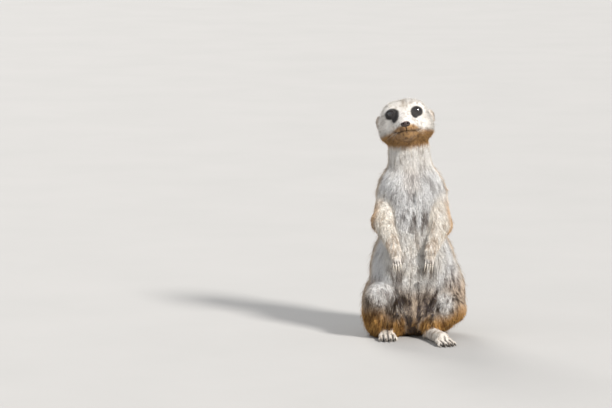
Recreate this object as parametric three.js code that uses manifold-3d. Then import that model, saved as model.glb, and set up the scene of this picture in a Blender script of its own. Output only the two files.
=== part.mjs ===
// A life-size meerkat sitting upright on its haunches, as a museum shows one.
// Millimetres. +Z is up, the animal looks along -Y, and its own left side is +X.
// The origin is the middle of the flat on which the rump rests.
// Every surface here is the outer tip of the coat.

import * as THREE from 'three';
import { mergeVertices } from 'three/addons/utils/BufferGeometryUtils.js';
import Module from 'manifold-3d';

const wasm = await Module();
wasm.setup();

const GAP = 0.35;               // room left round a node that is cut into its neighbour
const PARTING = 0.45;           // a plane cut between two nodes, wider than that room
const FLOOR_SINK = 0.8;         // how far a paw pad is pressed flat on the floor
const REACH = 400;              // well beyond every part of the animal

// ---------------------------------------------------------------- trunk
const RUMP = { centre: [0, 5, 35.5], radii: [41, 41, 38.5] };
const BELLY = { centre: [-0.8, -4, 66], radii: [46, 43, 62] };
const CHEST = { centre: [-2.8, -7, 127], radii: [30, 34, 46] };
const SHOULDERS = { centre: [-3.2, -5, 153], radii: [35, 28, 25] };
const NECK_BASE = { centre: [-3.6, -4, 160], radius: 26.5 };
const NAPE = { centre: [-6, -8, 196], radius: 19 };
const TRUNK_BLEND = 16;         // how softly the masses of the trunk run together
const NAPE_BLEND = 8;           // how softly the head sinks into the neck
const WAIST_HEIGHT = 98;        // where the abdomen is parted from the chest
const COLLAR_HEIGHT = 172;      // where the chest is parted from the neck
const NAPE_HEIGHT = 200;        // where the neck is parted from the head

// ---------------------------------------------------------------- head
const HEAD_CENTRE = [-10, -15, 226];
const HEAD_ROLL = 7.6;          // degrees, the left ear carried higher
const HEAD_PITCH = 14;          // degrees, the nose carried high
const HEAD_YAW = 1.5;           // degrees, the nose turned to the right
const CRANIUM = { centre: [0, 2, 0], radii: [27.3, 28, 23.5] };
const BROW = { centre: [10.5, -8, 6.6], radii: [12.5, 13, 12] };
const CHEEK = { centre: [13.5, -3, -11], radii: [16.5, 19, 14.5] };
const SNOUT = { root: [0, -19, -6.5], rootRadius: 14.5, tip: [0, -41.5, -10.2], tipRadius: 7 };
const LIP = { root: [6, -22, -12], rootRadius: 9, tip: [3.2, -40, -13.4], tipRadius: 5 };
const JAW = { root: [0, -8, -14], rootRadius: 13, tip: [0, -36, -19], tipRadius: 5.5 };
const HEAD_BLEND = 6;
const NOSE = { centre: [0, -47, -9.6], radii: [4.9, 4, 4] };
const EYE = { centre: [12.6, -19, 5.6], radius: 5.1 };
const ORBIT = { centre: [15.2, -31, 6.6], radius: 7, blend: 4 };
const EAR = { centre: [26.6, 5, 1], height: 7.6, width: 6.2, thickness: 2.2, outward: 58 };
const CONCHA = { centre: [29.6, 1.6, 1.4], radii: [3.8, 3, 4.8] };

// ---------------------------------------------------------------- limbs
// Joints of each limb from the body outward, with the radius of flesh and coat there.
const ARMS = {
  right: {
    shoulder: [-23, -7, 148], elbow: [-33, -27, 122], wrist: [-21.2, -49, 95],
    knuckles: [-19.6, -52.5, 84.5],
  },
  left: {
    shoulder: [18.5, -7, 148], elbow: [26.6, -27, 119], wrist: [15.6, -49, 95],
    knuckles: [14.2, -52.5, 84.5],
  },
};
const SHOULDER_RADIUS = 16.2;
const ELBOW_RADIUS = 12;
const FOREARM_RADIUS = 11.4;
const WRIST_RADIUS = 7.4;

const LEGS = {
  right: {
    haunch: { centre: [-29, -6, 28], radii: [26, 38, 36] },
    hip: [-27.5, 6, 42], knee: [-34, -33, 43], kneeRadius: 16.5,
    hock: [-30, -6, 12.5], ball: [-28.3, -37, 6.2],
  },
  left: {
    haunch: { centre: [27.5, -1, 44], radii: [27, 36, 42] },
    hip: [26, 8, 38], knee: [37.5, -31, 32], kneeRadius: 15.5,
    hock: [16, -30, 13], ball: [28.5, -66, 6.2],
  },
};
const HIP_RADIUS = 24;
const HIP_CUT = { offset: 5.6, lean: 24 };      // slanting cut from the groin up to the flank, degrees
const SHIN_CUT = { offset: -6, lean: 41 };      // cut that parts the folded shank from the thigh
const HOCK_RADIUS = 9.5;
const SHIN_SLIMMER = 2;                         // the shin is thinner than the knee above it
const LIMB_BLEND = 6;

// Paws: four digits each, on the fore foot long and slim for digging.
const HAND = {
  palm: [5.4, 4.4, 7.4],
  digit: 1.6, digitLength: 4.8, spacing: 2.45, outerShorter: 0.8,
  claw: 9, clawRadius: 0.85,
};
const FOOT = {
  sole: 7.2, heel: 7,
  digit: 3.3, digitLength: 11, spacing: 4.9, outerShorter: 1.1,
  claw: 7.5, clawRadius: 1.3,
};

// ---------------------------------------------------------------- tail
const TAIL = [
  { at: [0, 30, 18], radius: 13 },
  { at: [3, 56, 11.4], radius: 11.6 },
  { at: [8, 96, 8], radius: 8.8 },
  { at: [10, 134, 6.5], radius: 7.2 },
  { at: [3, 174, 5.2], radius: 5.8 },
  { at: [-16, 212, 3.2], radius: 3.8 },
];
const TAIL_CUTS = [36, 100, 164];

// Facet size of each kind of node along x, y and z. A head is finer towards its face.
const FACE_FRONT = -26;
const CELL = {
  trunk: [13, 13, 16],
  neck: [9, 9, 10],
  head: [5.7, (y) => (y < FACE_FRONT ? 4.8 : 10), 5.7],
  haunch: [10.8, 10.8, 10.8],
  arm: [7.8, 7.8, 10.4],
};

// ---------------------------------------------------------------- colours of the coat
const COLOURS = {
  back: 0xa58e72, belly: 0xb3a898, face: 0xd8d0c4, cream: 0xcdbfa2, buff: 0xb08a58,
  tailTip: 0x2a211c, ear: 0x3a302a, eye: 0x120c09, nose: 0x4b3a34, claw: 0x2b2622,
};
const COAT_ROUGHNESS = 0.9;
const NOSE_ROUGHNESS = 0.5;
const CLAW_ROUGHNESS = 0.4;
const EYE_ROUGHNESS = 0.1;

// ================================================================ distance fields
// A field is a function of a point that is negative inside; reach is the box that holds it.
const vector = (p) => new THREE.Vector3(...p);

function egg(centre, radii, turn = new THREE.Quaternion()) {
  const middle = vector(centre);
  const size = vector(radii);
  const unturn = turn.clone().invert();
  const local = new THREE.Vector3();
  const scaled = new THREE.Vector3();
  const field = (p) => {
    local.copy(p).sub(middle).applyQuaternion(unturn);
    const near = scaled.copy(local).divide(size).length();
    const slope = scaled.divide(size).length();
    return near < 1e-6 ? -Math.min(...radii) : near * (near - 1) / slope;
  };
  const longest = Math.max(...radii);
  field.reach = new THREE.Box3().setFromCenterAndSize(middle, new THREE.Vector3().setScalar(2 * longest));
  return field;
}

function taper(start, startRadius, end, endRadius) {
  const a = vector(start);
  const axis = vector(end).sub(a);
  const length2 = axis.lengthSq();
  const fall = startRadius - endRadius;
  const slant2 = length2 - fall * fall;
  const offset = new THREE.Vector3();
  const field = (p) => {
    offset.copy(p).sub(a);
    const along = offset.dot(axis);
    const past = along - length2;
    const side2 = offset.multiplyScalar(length2).addScaledVector(axis, -along).lengthSq();
    const along2 = along * along * length2;
    const past2 = past * past * length2;
    const turn = Math.sign(fall) * fall * fall * side2;
    if (Math.sign(past) * slant2 * past2 > turn) return Math.sqrt(side2 + past2) / length2 - endRadius;
    if (Math.sign(along) * slant2 * along2 < turn) return Math.sqrt(side2 + along2) / length2 - startRadius;
    return (Math.sqrt(side2 * slant2 / length2) + along * fall) / length2 - startRadius;
  };
  field.reach = new THREE.Box3()
    .union(new THREE.Box3(a.clone().subScalar(startRadius), a.clone().addScalar(startRadius)))
    .union(new THREE.Box3(vector(end).subScalar(endRadius), vector(end).addScalar(endRadius)));
  return field;
}

function softMin(a, b, width) {
  const mix = Math.max(width - Math.abs(a - b), 0) / width;
  return Math.min(a, b) - mix * mix * width / 4;
}

function blend(width, ...fields) {
  const field = (p) => fields.reduce((sum, next) => softMin(sum, next(p), width), Infinity);
  field.reach = fields.reduce((box, next) => box.union(next.reach), new THREE.Box3());
  return field;
}

function hollowed(body, width, ...cutters) {
  const field = (p) => cutters.reduce((sum, next) => -softMin(-sum, next(p), width), body(p));
  field.reach = body.reach;
  return field;
}

// Places the lines of a grid along one axis, past both ends, a step apart or as a function says.
function gridLines(low, high, step) {
  const stepAt = typeof step === 'function' ? step : () => step;
  const line = [low - 1.6 * stepAt(low)];
  while (line.at(-1) < high + 1.2 * stepAt(high)) line.push(line.at(-1) + stepAt(line.at(-1)));
  return line;
}

// Meshes the zero surface of a field: one vertex in each cell that the surface crosses.
function surface(field, steps, reach = field.reach) {
  const lines = steps.map((step, axis) => gridLines(
    reach.min.getComponent(axis), reach.max.getComponent(axis), step));
  const [nx, ny, nz] = lines.map((line) => line.length);
  const at = (i, j, k) => new THREE.Vector3(lines[0][i], lines[1][j], lines[2][k]);
  const index = (i, j, k) => (k * ny + j) * nx + i;
  const values = new Float64Array(nx * ny * nz);
  const onRim = (i, j, k) => !i || !j || !k || i === nx - 1 || j === ny - 1 || k === nz - 1;
  for (let k = 0; k < nz; k++)
    for (let j = 0; j < ny; j++)
      for (let i = 0; i < nx; i++) values[index(i, j, k)] = onRim(i, j, k) ? 1 : field(at(i, j, k));

  const corners = [0, 1, 2, 3, 4, 5, 6, 7].map((n) => [n & 1, (n >> 1) & 1, n >> 2]);
  const edges = [1, 2, 4].flatMap((step) => corners
    .map((_, n) => [n, n + step])
    .filter(([n]) => !(n & step)));
  const vertexOf = new Int32Array(nx * ny * nz).fill(-1);
  const points = [];
  for (let k = 0; k < nz - 1; k++)
    for (let j = 0; j < ny - 1; j++)
      for (let i = 0; i < nx - 1; i++) {
        const here = corners.map(([a, b, c]) => values[index(i + a, j + b, k + c)]);
        const mean = new THREE.Vector3();
        let crossings = 0;
        for (const [p, q] of edges) {
          if (here[p] < 0 === here[q] < 0) continue;
          const share = here[p] / (here[p] - here[q]);
          const from = at(i + corners[p][0], j + corners[p][1], k + corners[p][2]);
          const to = at(i + corners[q][0], j + corners[q][1], k + corners[q][2]);
          mean.add(from.lerp(to, share));
          crossings++;
        }
        if (!crossings) continue;
        vertexOf[index(i, j, k)] = points.length;
        points.push(ontoSurface(field, mean.divideScalar(crossings)));
      }

  const triangles = [];
  const ahead = [[1, 0, 0], [0, 1, 0], [0, 0, 1]];
  for (let k = 0; k < nz - 1; k++)
    for (let j = 0; j < ny - 1; j++)
      for (let i = 0; i < nx - 1; i++)
        ahead.forEach((step, axis) => {
          const inside = values[index(i, j, k)] < 0;
          if (inside === values[index(i + step[0], j + step[1], k + step[2])] < 0) return;
          const u = ahead[(axis + 1) % 3];
          const v = ahead[(axis + 2) % 3];
          const ring = [[0, 0], [1, 0], [1, 1], [0, 1]].map(([a, b]) => vertexOf[
            index(i - a * u[0] - b * v[0], j - a * u[1] - b * v[1], k - a * u[2] - b * v[2])]);
          if (!inside) ring.reverse();
          const [one, other] = [0, 1].map((n) => points[ring[n]].distanceTo(points[ring[n + 2]]));
          const [a, b, c, d] = one < other ? ring : [...ring.slice(1), ring[0]];
          triangles.push(a, b, c, a, c, d);
        });
  return solid(points.flatMap((p) => p.toArray()), triangles);
}

// Slides a vertex along the slope of the field until it lies on the surface.
function ontoSurface(field, point) {
  const probe = 0.1;
  for (let round = 0; round < 2; round++) {
    const value = field(point);
    const slope = new THREE.Vector3(...['x', 'y', 'z'].map((side) => {
      const beside = point.clone();
      beside[side] += probe;
      return (field(beside) - value) / probe;
    }));
    const step = slope.multiplyScalar(-value / Math.max(slope.lengthSq(), 0.2));
    point.add(step.clampLength(0, 1.5));
  }
  return point;
}

// ================================================================ solids
function solid(coordinates, triangles) {
  return new wasm.Manifold(new wasm.Mesh({
    numProp: 3,
    vertProperties: Float32Array.from(coordinates),
    triVerts: Uint32Array.from(triangles),
  }));
}

function solidOf(geometry, matrix = new THREE.Matrix4()) {
  const bare = geometry.clone();
  bare.deleteAttribute('normal');
  bare.deleteAttribute('uv');
  const merged = mergeVertices(bare.applyMatrix4(matrix), 1e-4);
  const all = [...merged.index.array];
  const faces = [];
  for (let i = 0; i < all.length; i += 3) {
    const [a, b, c] = all.slice(i, i + 3);
    if (a !== b && b !== c && c !== a) faces.push(a, b, c);
  }
  return solid(merged.attributes.position.array, faces);
}

// A round-ended taper between two points, as a turned solid.
function peg(start, startRadius, end, endRadius, sides, endRings, startRings = 1) {
  const a = vector(start);
  const axis = vector(end).sub(a);
  const length = axis.length();
  const lean = Math.asin((startRadius - endRadius) / length);
  const profile = [];
  for (let i = 0; i <= startRings; i++) {
    const angle = -Math.PI / 2 + (Math.PI / 2 + lean) * i / startRings;
    profile.push(new THREE.Vector2(startRadius * Math.cos(angle), startRadius * Math.sin(angle)));
  }
  for (let i = 0; i <= endRings; i++) {
    const angle = lean + (Math.PI / 2 - lean) * i / endRings;
    profile.push(new THREE.Vector2(endRadius * Math.cos(angle), length + endRadius * Math.sin(angle)));
  }
  profile[0].x = 0;
  profile[profile.length - 1].x = 0;
  const turn = new THREE.Quaternion().setFromUnitVectors(new THREE.Vector3(0, 1, 0), axis.normalize());
  const place = new THREE.Matrix4().compose(a, turn, new THREE.Vector3(1, 1, 1));
  return solidOf(new THREE.LatheGeometry(profile, sides), place);
}

function ball(centre, radii, turn = new THREE.Quaternion(), around = 12, down = 8) {
  const place = new THREE.Matrix4().compose(vector(centre), turn, vector(radii));
  return solidOf(new THREE.SphereGeometry(1, around, down), place);
}

const join = (solids) => solids.reduce((sum, next) => sum.add(next));
const block = (low, high) => {
  const size = vector(high).sub(vector(low));
  const middle = vector(low).addScaledVector(size, 0.5);
  return solidOf(new THREE.BoxGeometry(...size.toArray()), new THREE.Matrix4().setPosition(middle));
};
const BELOW_FLOOR = block([-REACH, -REACH, -REACH], [REACH, REACH, 0]);

// The same solid swollen by the gap, for cutting room for it in a neighbour.
function swollen(part) {
  const mesh = part.getMesh();
  const geometry = new THREE.BufferGeometry();
  geometry.setAttribute('position', new THREE.BufferAttribute(Float32Array.from(mesh.vertProperties), 3));
  geometry.setIndex(new THREE.BufferAttribute(Uint32Array.from(mesh.triVerts), 1));
  geometry.computeVertexNormals();
  const points = geometry.attributes.position.array;
  const normals = geometry.attributes.normal.array;
  return solid(points.map((value, i) => value + normals[i] * GAP), mesh.triVerts);
}

const between = (part, low, high) => part.intersect(block([-REACH, -REACH, low], [REACH, REACH, high]));
const along = (part, low, high) => part.intersect(block([-REACH, low, 0], [REACH, high, REACH]));
const lerp = (a, b, share) => a.map((value, i) => value + (b[i] - value) * share);
const mirrored = (point, side) => [point[0] * side, point[1], point[2]];

// ================================================================ head
const headTurn = new THREE.Quaternion().setFromEuler(new THREE.Euler(
  ...[-HEAD_PITCH, -HEAD_ROLL, -HEAD_YAW].map(THREE.MathUtils.degToRad), 'YXZ'));
const onHead = (point) => vector(point).applyQuaternion(headTurn).add(vector(HEAD_CENTRE)).toArray();
const SIDES = { right: -1, left: 1 };
const bothSides = (make) => Object.values(SIDES).map(make);
const headEgg = (form, side = 1) => egg(onHead(mirrored(form.centre, side)), form.radii, headTurn);
const headTaper = (form, side = 1) => taper(onHead(mirrored(form.root, side)), form.rootRadius,
  onHead(mirrored(form.tip, side)), form.tipRadius);

const headField = hollowed(
  blend(HEAD_BLEND, headEgg(CRANIUM), ...bothSides((side) => headEgg(BROW, side)),
    ...bothSides((side) => headEgg(CHEEK, side)), headTaper(SNOUT),
    ...bothSides((side) => headTaper(LIP, side)), headTaper(JAW)),
  ORBIT.blend, ...bothSides((side) => egg(onHead(mirrored(ORBIT.centre, side)),
    [ORBIT.radius, ORBIT.radius, ORBIT.radius])));

// An ear is a small round flap with a hollow in front.
function ear(side) {
  const turn = headTurn.clone().multiply(new THREE.Quaternion().setFromEuler(
    new THREE.Euler(0, 0, THREE.MathUtils.degToRad(EAR.outward * side))));
  const flap = ball(onHead(mirrored(EAR.centre, side)), [EAR.width, EAR.thickness, EAR.height], turn, 10, 7);
  const cup = ball(onHead(mirrored(CONCHA.centre, side)), CONCHA.radii, turn, 8, 5);
  return flap.subtract(cup);
}

// ================================================================ trunk and tail
function tailRadius(share) {
  const at = share * (TAIL.length - 1);
  const before = Math.min(Math.floor(at), TAIL.length - 2);
  return THREE.MathUtils.lerp(TAIL[before].radius, TAIL[before + 1].radius, at - before);
}

const trunkField = blend(TRUNK_BLEND,
  egg(RUMP.centre, RUMP.radii), egg(BELLY.centre, BELLY.radii), egg(CHEST.centre, CHEST.radii),
  egg(SHOULDERS.centre, SHOULDERS.radii), taper(NECK_BASE.centre, NECK_BASE.radius, NAPE.centre, NAPE.radius),
  taper(NAPE.centre, NAPE.radius, HEAD_CENTRE, NAPE.radius));
const legFields = Object.values(LEGS).flatMap(({ haunch, hip, knee, kneeRadius, hock }) => [
  egg(haunch.centre, haunch.radii), taper(hip, HIP_RADIUS, knee, kneeRadius),
  taper(knee, kneeRadius - SHIN_SLIMMER, hock, HOCK_RADIUS)]);
const bodyField = blend(LIMB_BLEND, trunkField, ...legFields);
const uprightField = blend(NAPE_BLEND, trunkField, headField);

// ================================================================ limbs
// Half of space: all that lies beyond a plane at an offset from a point.
function beyond(normal, point, offset) {
  const out = vector(normal).normalize();
  const turn = new THREE.Quaternion().setFromUnitVectors(new THREE.Vector3(0, 0, 1), out);
  const middle = vector(point).addScaledVector(out, offset + REACH);
  const place = new THREE.Matrix4().compose(middle, turn, new THREE.Vector3(1, 1, 1));
  return solidOf(new THREE.BoxGeometry(2 * REACH, 2 * REACH, 2 * REACH), place);
}

// The arm as one piece, parted by a plane that halves the bend of the elbow.
function arm({ shoulder, elbow, wrist }) {
  const whole = surface(blend(LIMB_BLEND, taper(shoulder, SHOULDER_RADIUS, elbow, ELBOW_RADIUS),
    taper(elbow, FOREARM_RADIUS, wrist, WRIST_RADIUS)), CELL.arm);
  const upperWay = vector(elbow).sub(vector(shoulder)).normalize();
  const foreWay = vector(wrist).sub(vector(elbow)).normalize();
  const cut = upperWay.add(foreWay).toArray();
  return {
    upper: whole.subtract(beyond(cut, elbow, -PARTING)),
    fore: whole.intersect(beyond(cut, elbow, 0)),
  };
}

// A hand hangs from the wrist: a flat palm, four digits side by side and a long claw on each.
function hand({ wrist, knuckles }) {
  const down = vector(knuckles).sub(vector(wrist)).normalize();
  const across = new THREE.Vector3(1, 0, 0).addScaledVector(down, -down.x).normalize();
  const outward = new THREE.Vector3().crossVectors(down, across);
  const place = (sideways, lengthwise, lift) => vector(knuckles).addScaledVector(across, sideways)
    .addScaledVector(down, lengthwise).addScaledVector(outward, lift).toArray();
  const turn = new THREE.Quaternion().setFromRotationMatrix(
    new THREE.Matrix4().makeBasis(across, outward.clone().negate(), down.clone().negate()));
  const palm = ball(lerp(wrist, knuckles, 0.6), HAND.palm, turn, 7, 5);
  const digits = [];
  const claws = [];
  for (let i = 0; i < 4; i++) {
    const step = i - 1.5;
    const sideways = step * HAND.spacing;
    const length = HAND.digitLength - Math.abs(step) * HAND.outerShorter;
    const tip = place(sideways, length, 0.4);
    digits.push(peg(place(sideways, -2, 0), HAND.digit, tip, HAND.digit * 0.9, 5, 1));
    claws.push(claw(tip, place(sideways * 1.15, length + HAND.claw, -0.8), outward, HAND.clawRadius));
  }
  return { paw: join([palm, ...digits]), claws };
}

// A round body along a curve, closed to a point at both ends.
function spindle(curve, radiusAt, rings, sides) {
  const points = [];
  const frames = curve.computeFrenetFrames(rings, false);
  for (let i = 0; i <= rings; i++)
    for (let j = 0; j < sides; j++) {
      const angle = 2 * Math.PI * j / sides;
      points.push(curve.getPointAt(i / rings)
        .addScaledVector(frames.normals[i], radiusAt(i / rings) * Math.cos(angle))
        .addScaledVector(frames.binormals[i], radiusAt(i / rings) * Math.sin(angle)));
    }
  const first = points.push(curve.getPoint(0)) - 1;
  const last = points.push(curve.getPoint(1).addScaledVector(curve.getTangent(1), radiusAt(1) * 0.8)) - 1;
  const faces = [];
  for (let j = 0; j < sides; j++) {
    const next = (j + 1) % sides;
    faces.push(first, next, j, last, rings * sides + j, rings * sides + next);
    for (let i = 0; i < rings; i++) {
      const [a, b] = [i * sides + j, i * sides + next];
      faces.push(a, b, b + sides, a, b + sides, a + sides);
    }
  }
  return solid(points.flatMap((p) => p.toArray()), faces);
}

// A claw: a thin horn that bends over towards its tip.
function claw(root, tip, bow, radius) {
  const middle = vector(lerp(root, tip, 0.5)).addScaledVector(bow, radius * 0.9);
  const curve = new THREE.QuadraticBezierCurve3(vector(root), middle, vector(tip));
  return spindle(curve, (share) => radius * Math.sqrt(1 - 0.94 * share), 3, 4);
}

// The leg's thigh and shank, both taken from the body by slanting planes.
function leg({ knee }, side, body) {
  const hipLean = THREE.MathUtils.degToRad(HIP_CUT.lean);
  const shinLean = THREE.MathUtils.degToRad(SHIN_CUT.lean);
  const outward = [side * Math.cos(hipLean), 0, -Math.sin(hipLean)];
  const forward = [0, -Math.cos(shinLean), -Math.sin(shinLean)];
  const whole = body.intersect(beyond(outward, [0, 0, 0], HIP_CUT.offset));
  return {
    thigh: whole.subtract(beyond(forward, knee, SHIN_CUT.offset - PARTING)),
    shank: whole.intersect(beyond(forward, knee, SHIN_CUT.offset)),
    room: beyond(outward, [0, 0, 0], HIP_CUT.offset - PARTING),
  };
}

// A hind foot lies flat from the heel to four short digits.
function foot({ hock, ball: pad }) {
  const heel = [hock[0], hock[1], FOOT.heel - FLOOR_SINK];
  const forward = vector(pad).sub(vector(heel)).setZ(0).normalize();
  const across = new THREE.Vector3(-forward.y, forward.x, 0);
  const place = (sideways, lengthwise, height) => vector(pad).setZ(height)
    .addScaledVector(across, sideways).addScaledVector(forward, lengthwise).toArray();
  const digits = [];
  const claws = [];
  for (let i = 0; i < 4; i++) {
    const step = i - 1.5;
    const sideways = step * FOOT.spacing;
    const length = FOOT.digitLength - step * step * FOOT.outerShorter;
    const height = FOOT.digit - FLOOR_SINK;
    digits.push(peg(place(sideways * 0.8, -1, height + 1.6), FOOT.digit + 0.6,
      place(sideways, length, height), FOOT.digit, 6, 1));
    claws.push(claw(place(sideways, length + 0.5, height + 0.7),
      place(sideways * 1.05, length + FOOT.claw, 1.1), new THREE.Vector3(0, 0, 1), FOOT.clawRadius));
  }
  const sole = peg(heel, FOOT.heel, place(0, -3, pad[2]), FOOT.sole, 10, 2, 2);
  return { paw: join([sole, ...digits]).subtract(BELOW_FLOOR), claws };
}

// ================================================================ the animal
const animal = new THREE.Group();
const placed = [];

// Adds a solid as a node, after cutting room in it for every node that is already there.
function add(name, part, colour, roughness = COAT_ROUGHNESS) {
  const clear = placed.reduce((left, other) => {
    const room = swollen(other);
    return left.intersect(room).isEmpty() ? left : left.subtract(room);
  }, part);
  const largest = clear.decompose().sort((a, b) => b.volume() - a.volume())[0];
  placed.push(largest);
  const mesh = largest.getMesh();
  const geometry = new THREE.BufferGeometry();
  geometry.setAttribute('position', new THREE.BufferAttribute(Float32Array.from(mesh.vertProperties), 3));
  geometry.setIndex(new THREE.BufferAttribute(Uint32Array.from(mesh.triVerts), 1));
  const piece = new THREE.Mesh(geometry, new THREE.MeshStandardMaterial({ color: colour, roughness }));
  piece.name = name;
  animal.add(piece);
}

for (const [name, side] of Object.entries(SIDES))
  add(`eye_${name}`, ball(onHead(mirrored(EYE.centre, side)), [EYE.radius, EYE.radius, EYE.radius],
    headTurn, 10, 7), COLOURS.eye, EYE_ROUGHNESS);
add('nose', ball(onHead(NOSE.centre), NOSE.radii, headTurn, 10, 7), COLOURS.nose, NOSE_ROUGHNESS);

for (const side of Object.keys(SIDES)) {
  const { paw, claws } = hand(ARMS[side]);
  const { upper, fore } = arm(ARMS[side]);
  claws.forEach((piece, i) => add(`claw_hand_${side}_${i + 1}`, piece, COLOURS.claw, CLAW_ROUGHNESS));
  add(`hand_${side}`, paw, COLOURS.cream);
  add(`forearm_${side}`, fore, COLOURS.cream);
  add(`upper_arm_${side}`, upper, COLOURS.cream);
}

const tailCurve = new THREE.CatmullRomCurve3(TAIL.map(({ at }) => vector(at)));
const tail = spindle(tailCurve, tailRadius, 16, 10).subtract(BELOW_FLOOR);
add('tail_root', along(tail, TAIL_CUTS[0], TAIL_CUTS[1]), COLOURS.back);
add('tail_middle', along(tail, TAIL_CUTS[1] + PARTING, TAIL_CUTS[2]), COLOURS.back);
add('tail_tip', along(tail, TAIL_CUTS[2] + PARTING, REACH), COLOURS.tailTip);

const body = surface(bodyField, CELL.haunch).subtract(BELOW_FLOOR);
let abdomen = between(body, 0, WAIST_HEIGHT);
for (const [name, side] of Object.entries(SIDES)) {
  const { paw, claws } = foot(LEGS[name]);
  const { thigh, shank, room } = leg(LEGS[name], side, body);
  claws.forEach((piece, i) => {
    add(`claw_foot_${name}_${i + 1}`, piece.subtract(BELOW_FLOOR), COLOURS.claw, CLAW_ROUGHNESS);
  });
  add(`foot_${name}`, paw, COLOURS.cream);
  add(`shank_${name}`, shank, COLOURS.buff);
  add(`thigh_${name}`, thigh, COLOURS.buff);
  abdomen = abdomen.subtract(room);
}
add('abdomen', abdomen, COLOURS.belly);
add('chest', between(surface(trunkField, CELL.trunk), WAIST_HEIGHT + PARTING, COLLAR_HEIGHT), COLOURS.belly);

for (const [name, side] of Object.entries(SIDES)) add(`ear_${name}`, ear(side), COLOURS.ear);
add('head', between(surface(uprightField, CELL.head, headField.reach), NAPE_HEIGHT, REACH), COLOURS.face);
const neck = surface(uprightField, CELL.neck);
add('neck', between(neck, COLLAR_HEIGHT + PARTING, NAPE_HEIGHT - PARTING), COLOURS.belly);

export default animal;
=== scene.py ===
"""A life-size meerkat sitting upright on its haunches: skin, coat, eyes, nose, claws and studio.

The body is a set of eggs and tapers that melt into one another. They are written in millimetres,
with +Z up, the animal looking along -Y and its own left side at +X, and MM turns them into metres.
"""

import math

import bpy
import numpy as np
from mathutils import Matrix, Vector


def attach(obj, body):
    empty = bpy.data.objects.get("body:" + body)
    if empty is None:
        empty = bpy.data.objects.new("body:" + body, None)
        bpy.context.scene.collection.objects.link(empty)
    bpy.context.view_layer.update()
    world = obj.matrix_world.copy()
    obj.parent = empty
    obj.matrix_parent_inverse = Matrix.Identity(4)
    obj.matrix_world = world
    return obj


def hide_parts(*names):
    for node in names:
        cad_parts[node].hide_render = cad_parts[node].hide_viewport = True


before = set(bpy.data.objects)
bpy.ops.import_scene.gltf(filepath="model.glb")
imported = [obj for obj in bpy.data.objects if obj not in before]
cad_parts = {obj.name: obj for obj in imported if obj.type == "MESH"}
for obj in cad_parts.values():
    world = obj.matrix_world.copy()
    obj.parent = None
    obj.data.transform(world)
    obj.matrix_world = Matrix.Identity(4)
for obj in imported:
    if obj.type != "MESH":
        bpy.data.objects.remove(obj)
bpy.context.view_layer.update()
MM = 0.001
SEED = 20
FAR = 1000.0
SIDES = {"right": -1, "left": 1}

# ---------------------------------------------------------------- trunk
TRUNK_BLEND = 16
RUMP = ((0, 5, 35.5), (41, 41, 38.5))
BELLY = ((-0.8, -4, 66), (46, 43, 62))
CHEST = ((-2.8, -7, 127), (30, 34, 46))
SHOULDERS = ((-3.2, -5, 153), (35, 28, 25))
NECK_BASE = ((-3.6, -4, 160), 26.5)
NAPE = ((-6, -8, 196), 19)
MIDLINE = (-3, -4)              # x and y of the upright axis of the trunk
TEATS = [(20.5, 44), (18.5, 27), (-18.5, 28), (3.5, 62)]

# ---------------------------------------------------------------- head, in its own frame
HEAD_CENTRE = np.array([-10.0, -15, 226.0])
HEAD_ROLL, HEAD_PITCH, HEAD_YAW = math.radians(7.6), math.radians(14), math.radians(1.5)
CRANIUM = ((0, 2, 0), (27.3, 28, 23.5))
BROW = ((10.5, -8, 6.6), (12.5, 13, 12))
CHEEK = ((13.5, -3, -11), (16.5, 19, 14.5))
SNOUT = ((0, -19, -6.5), 14.5, (0, -41.5, -10.2), 7)
LIP = ((6, -22, -12), 9, (3.2, -40, -13.4), 5)
JAW = ((0, -8, -14), 13, (0, -36, -19), 5.5)
HEAD_BLEND, NAPE_BLEND = 6, 8
NOSE = (0, -47, -9.6)
EYE, EYE_RADIUS = (12.6, -19, 5.6), 5.1
ORBIT, ORBIT_RADIUS = (15.2, -31, 6.6), 7
EAR, EAR_SIZE, EAR_OUTWARD = (26.6, 5, 1), (6.2, 2.2, 7.6), math.radians(58)
CONCHA, CONCHA_SIZE = (29.6, 1.6, 1.4), (3.8, 3, 4.8)
MOUTH_HEIGHT, MOUTH_CORNER, MOUTH_LIFT = -16.6, -23, 3.2

# ---------------------------------------------------------------- limbs and tail
ARMS = {
    "right": {"shoulder": (-23, -7, 148), "elbow": (-33, -27, 122), "wrist": (-21.2, -49, 95),
              "knuckles": (-19.6, -52.5, 84.5)},
    "left": {"shoulder": (18.5, -7, 148), "elbow": (26.6, -27, 119), "wrist": (15.6, -49, 95),
             "knuckles": (14.2, -52.5, 84.5)},
}
SHOULDER_RADIUS, ELBOW_RADIUS, FOREARM_RADIUS, WRIST_RADIUS = 16.2, 12, 11.4, 7.4
LEGS = {
    "right": {"haunch": ((-29, -6, 28), (26, 38, 36)), "hip": (-27.5, 6, 42), "knee": (-34, -33, 43),
              "knee_radius": 16.5, "hock": (-30, -6, 12.5), "ball": (-28.3, -37, 6.2)},
    "left": {"haunch": ((27.5, -1, 44), (27, 36, 42)), "hip": (26, 8, 38), "knee": (37.5, -31, 32),
             "knee_radius": 15.5, "hock": (16, -30, 13), "ball": (28.5, -66, 6.2)},
}
HIP_RADIUS, HOCK_RADIUS, SHIN_SLIMMER, LIMB_BLEND = 24, 9.5, 2, 6
PALM, FINGER, FINGER_LENGTH, FINGER_SPACING, FINGER_CLAW = (5.4, 4.4, 7.4), 1.6, 4.8, 2.45, 9
SOLE, HEEL, TOE, TOE_LENGTH, TOE_SPACING, TOE_CLAW = 7.2, 7, 3.3, 11, 4.9, 7.5
FLOOR_SINK = 0.8
TAIL = [((0, 30, 18), 13), ((3, 56, 11.4), 11.6), ((8, 96, 8), 8.8),
        ((10, 134, 6.5), 7.2), ((3, 174, 5.2), 5.8), ((-16, 212, 3.2), 3.8)]

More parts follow.
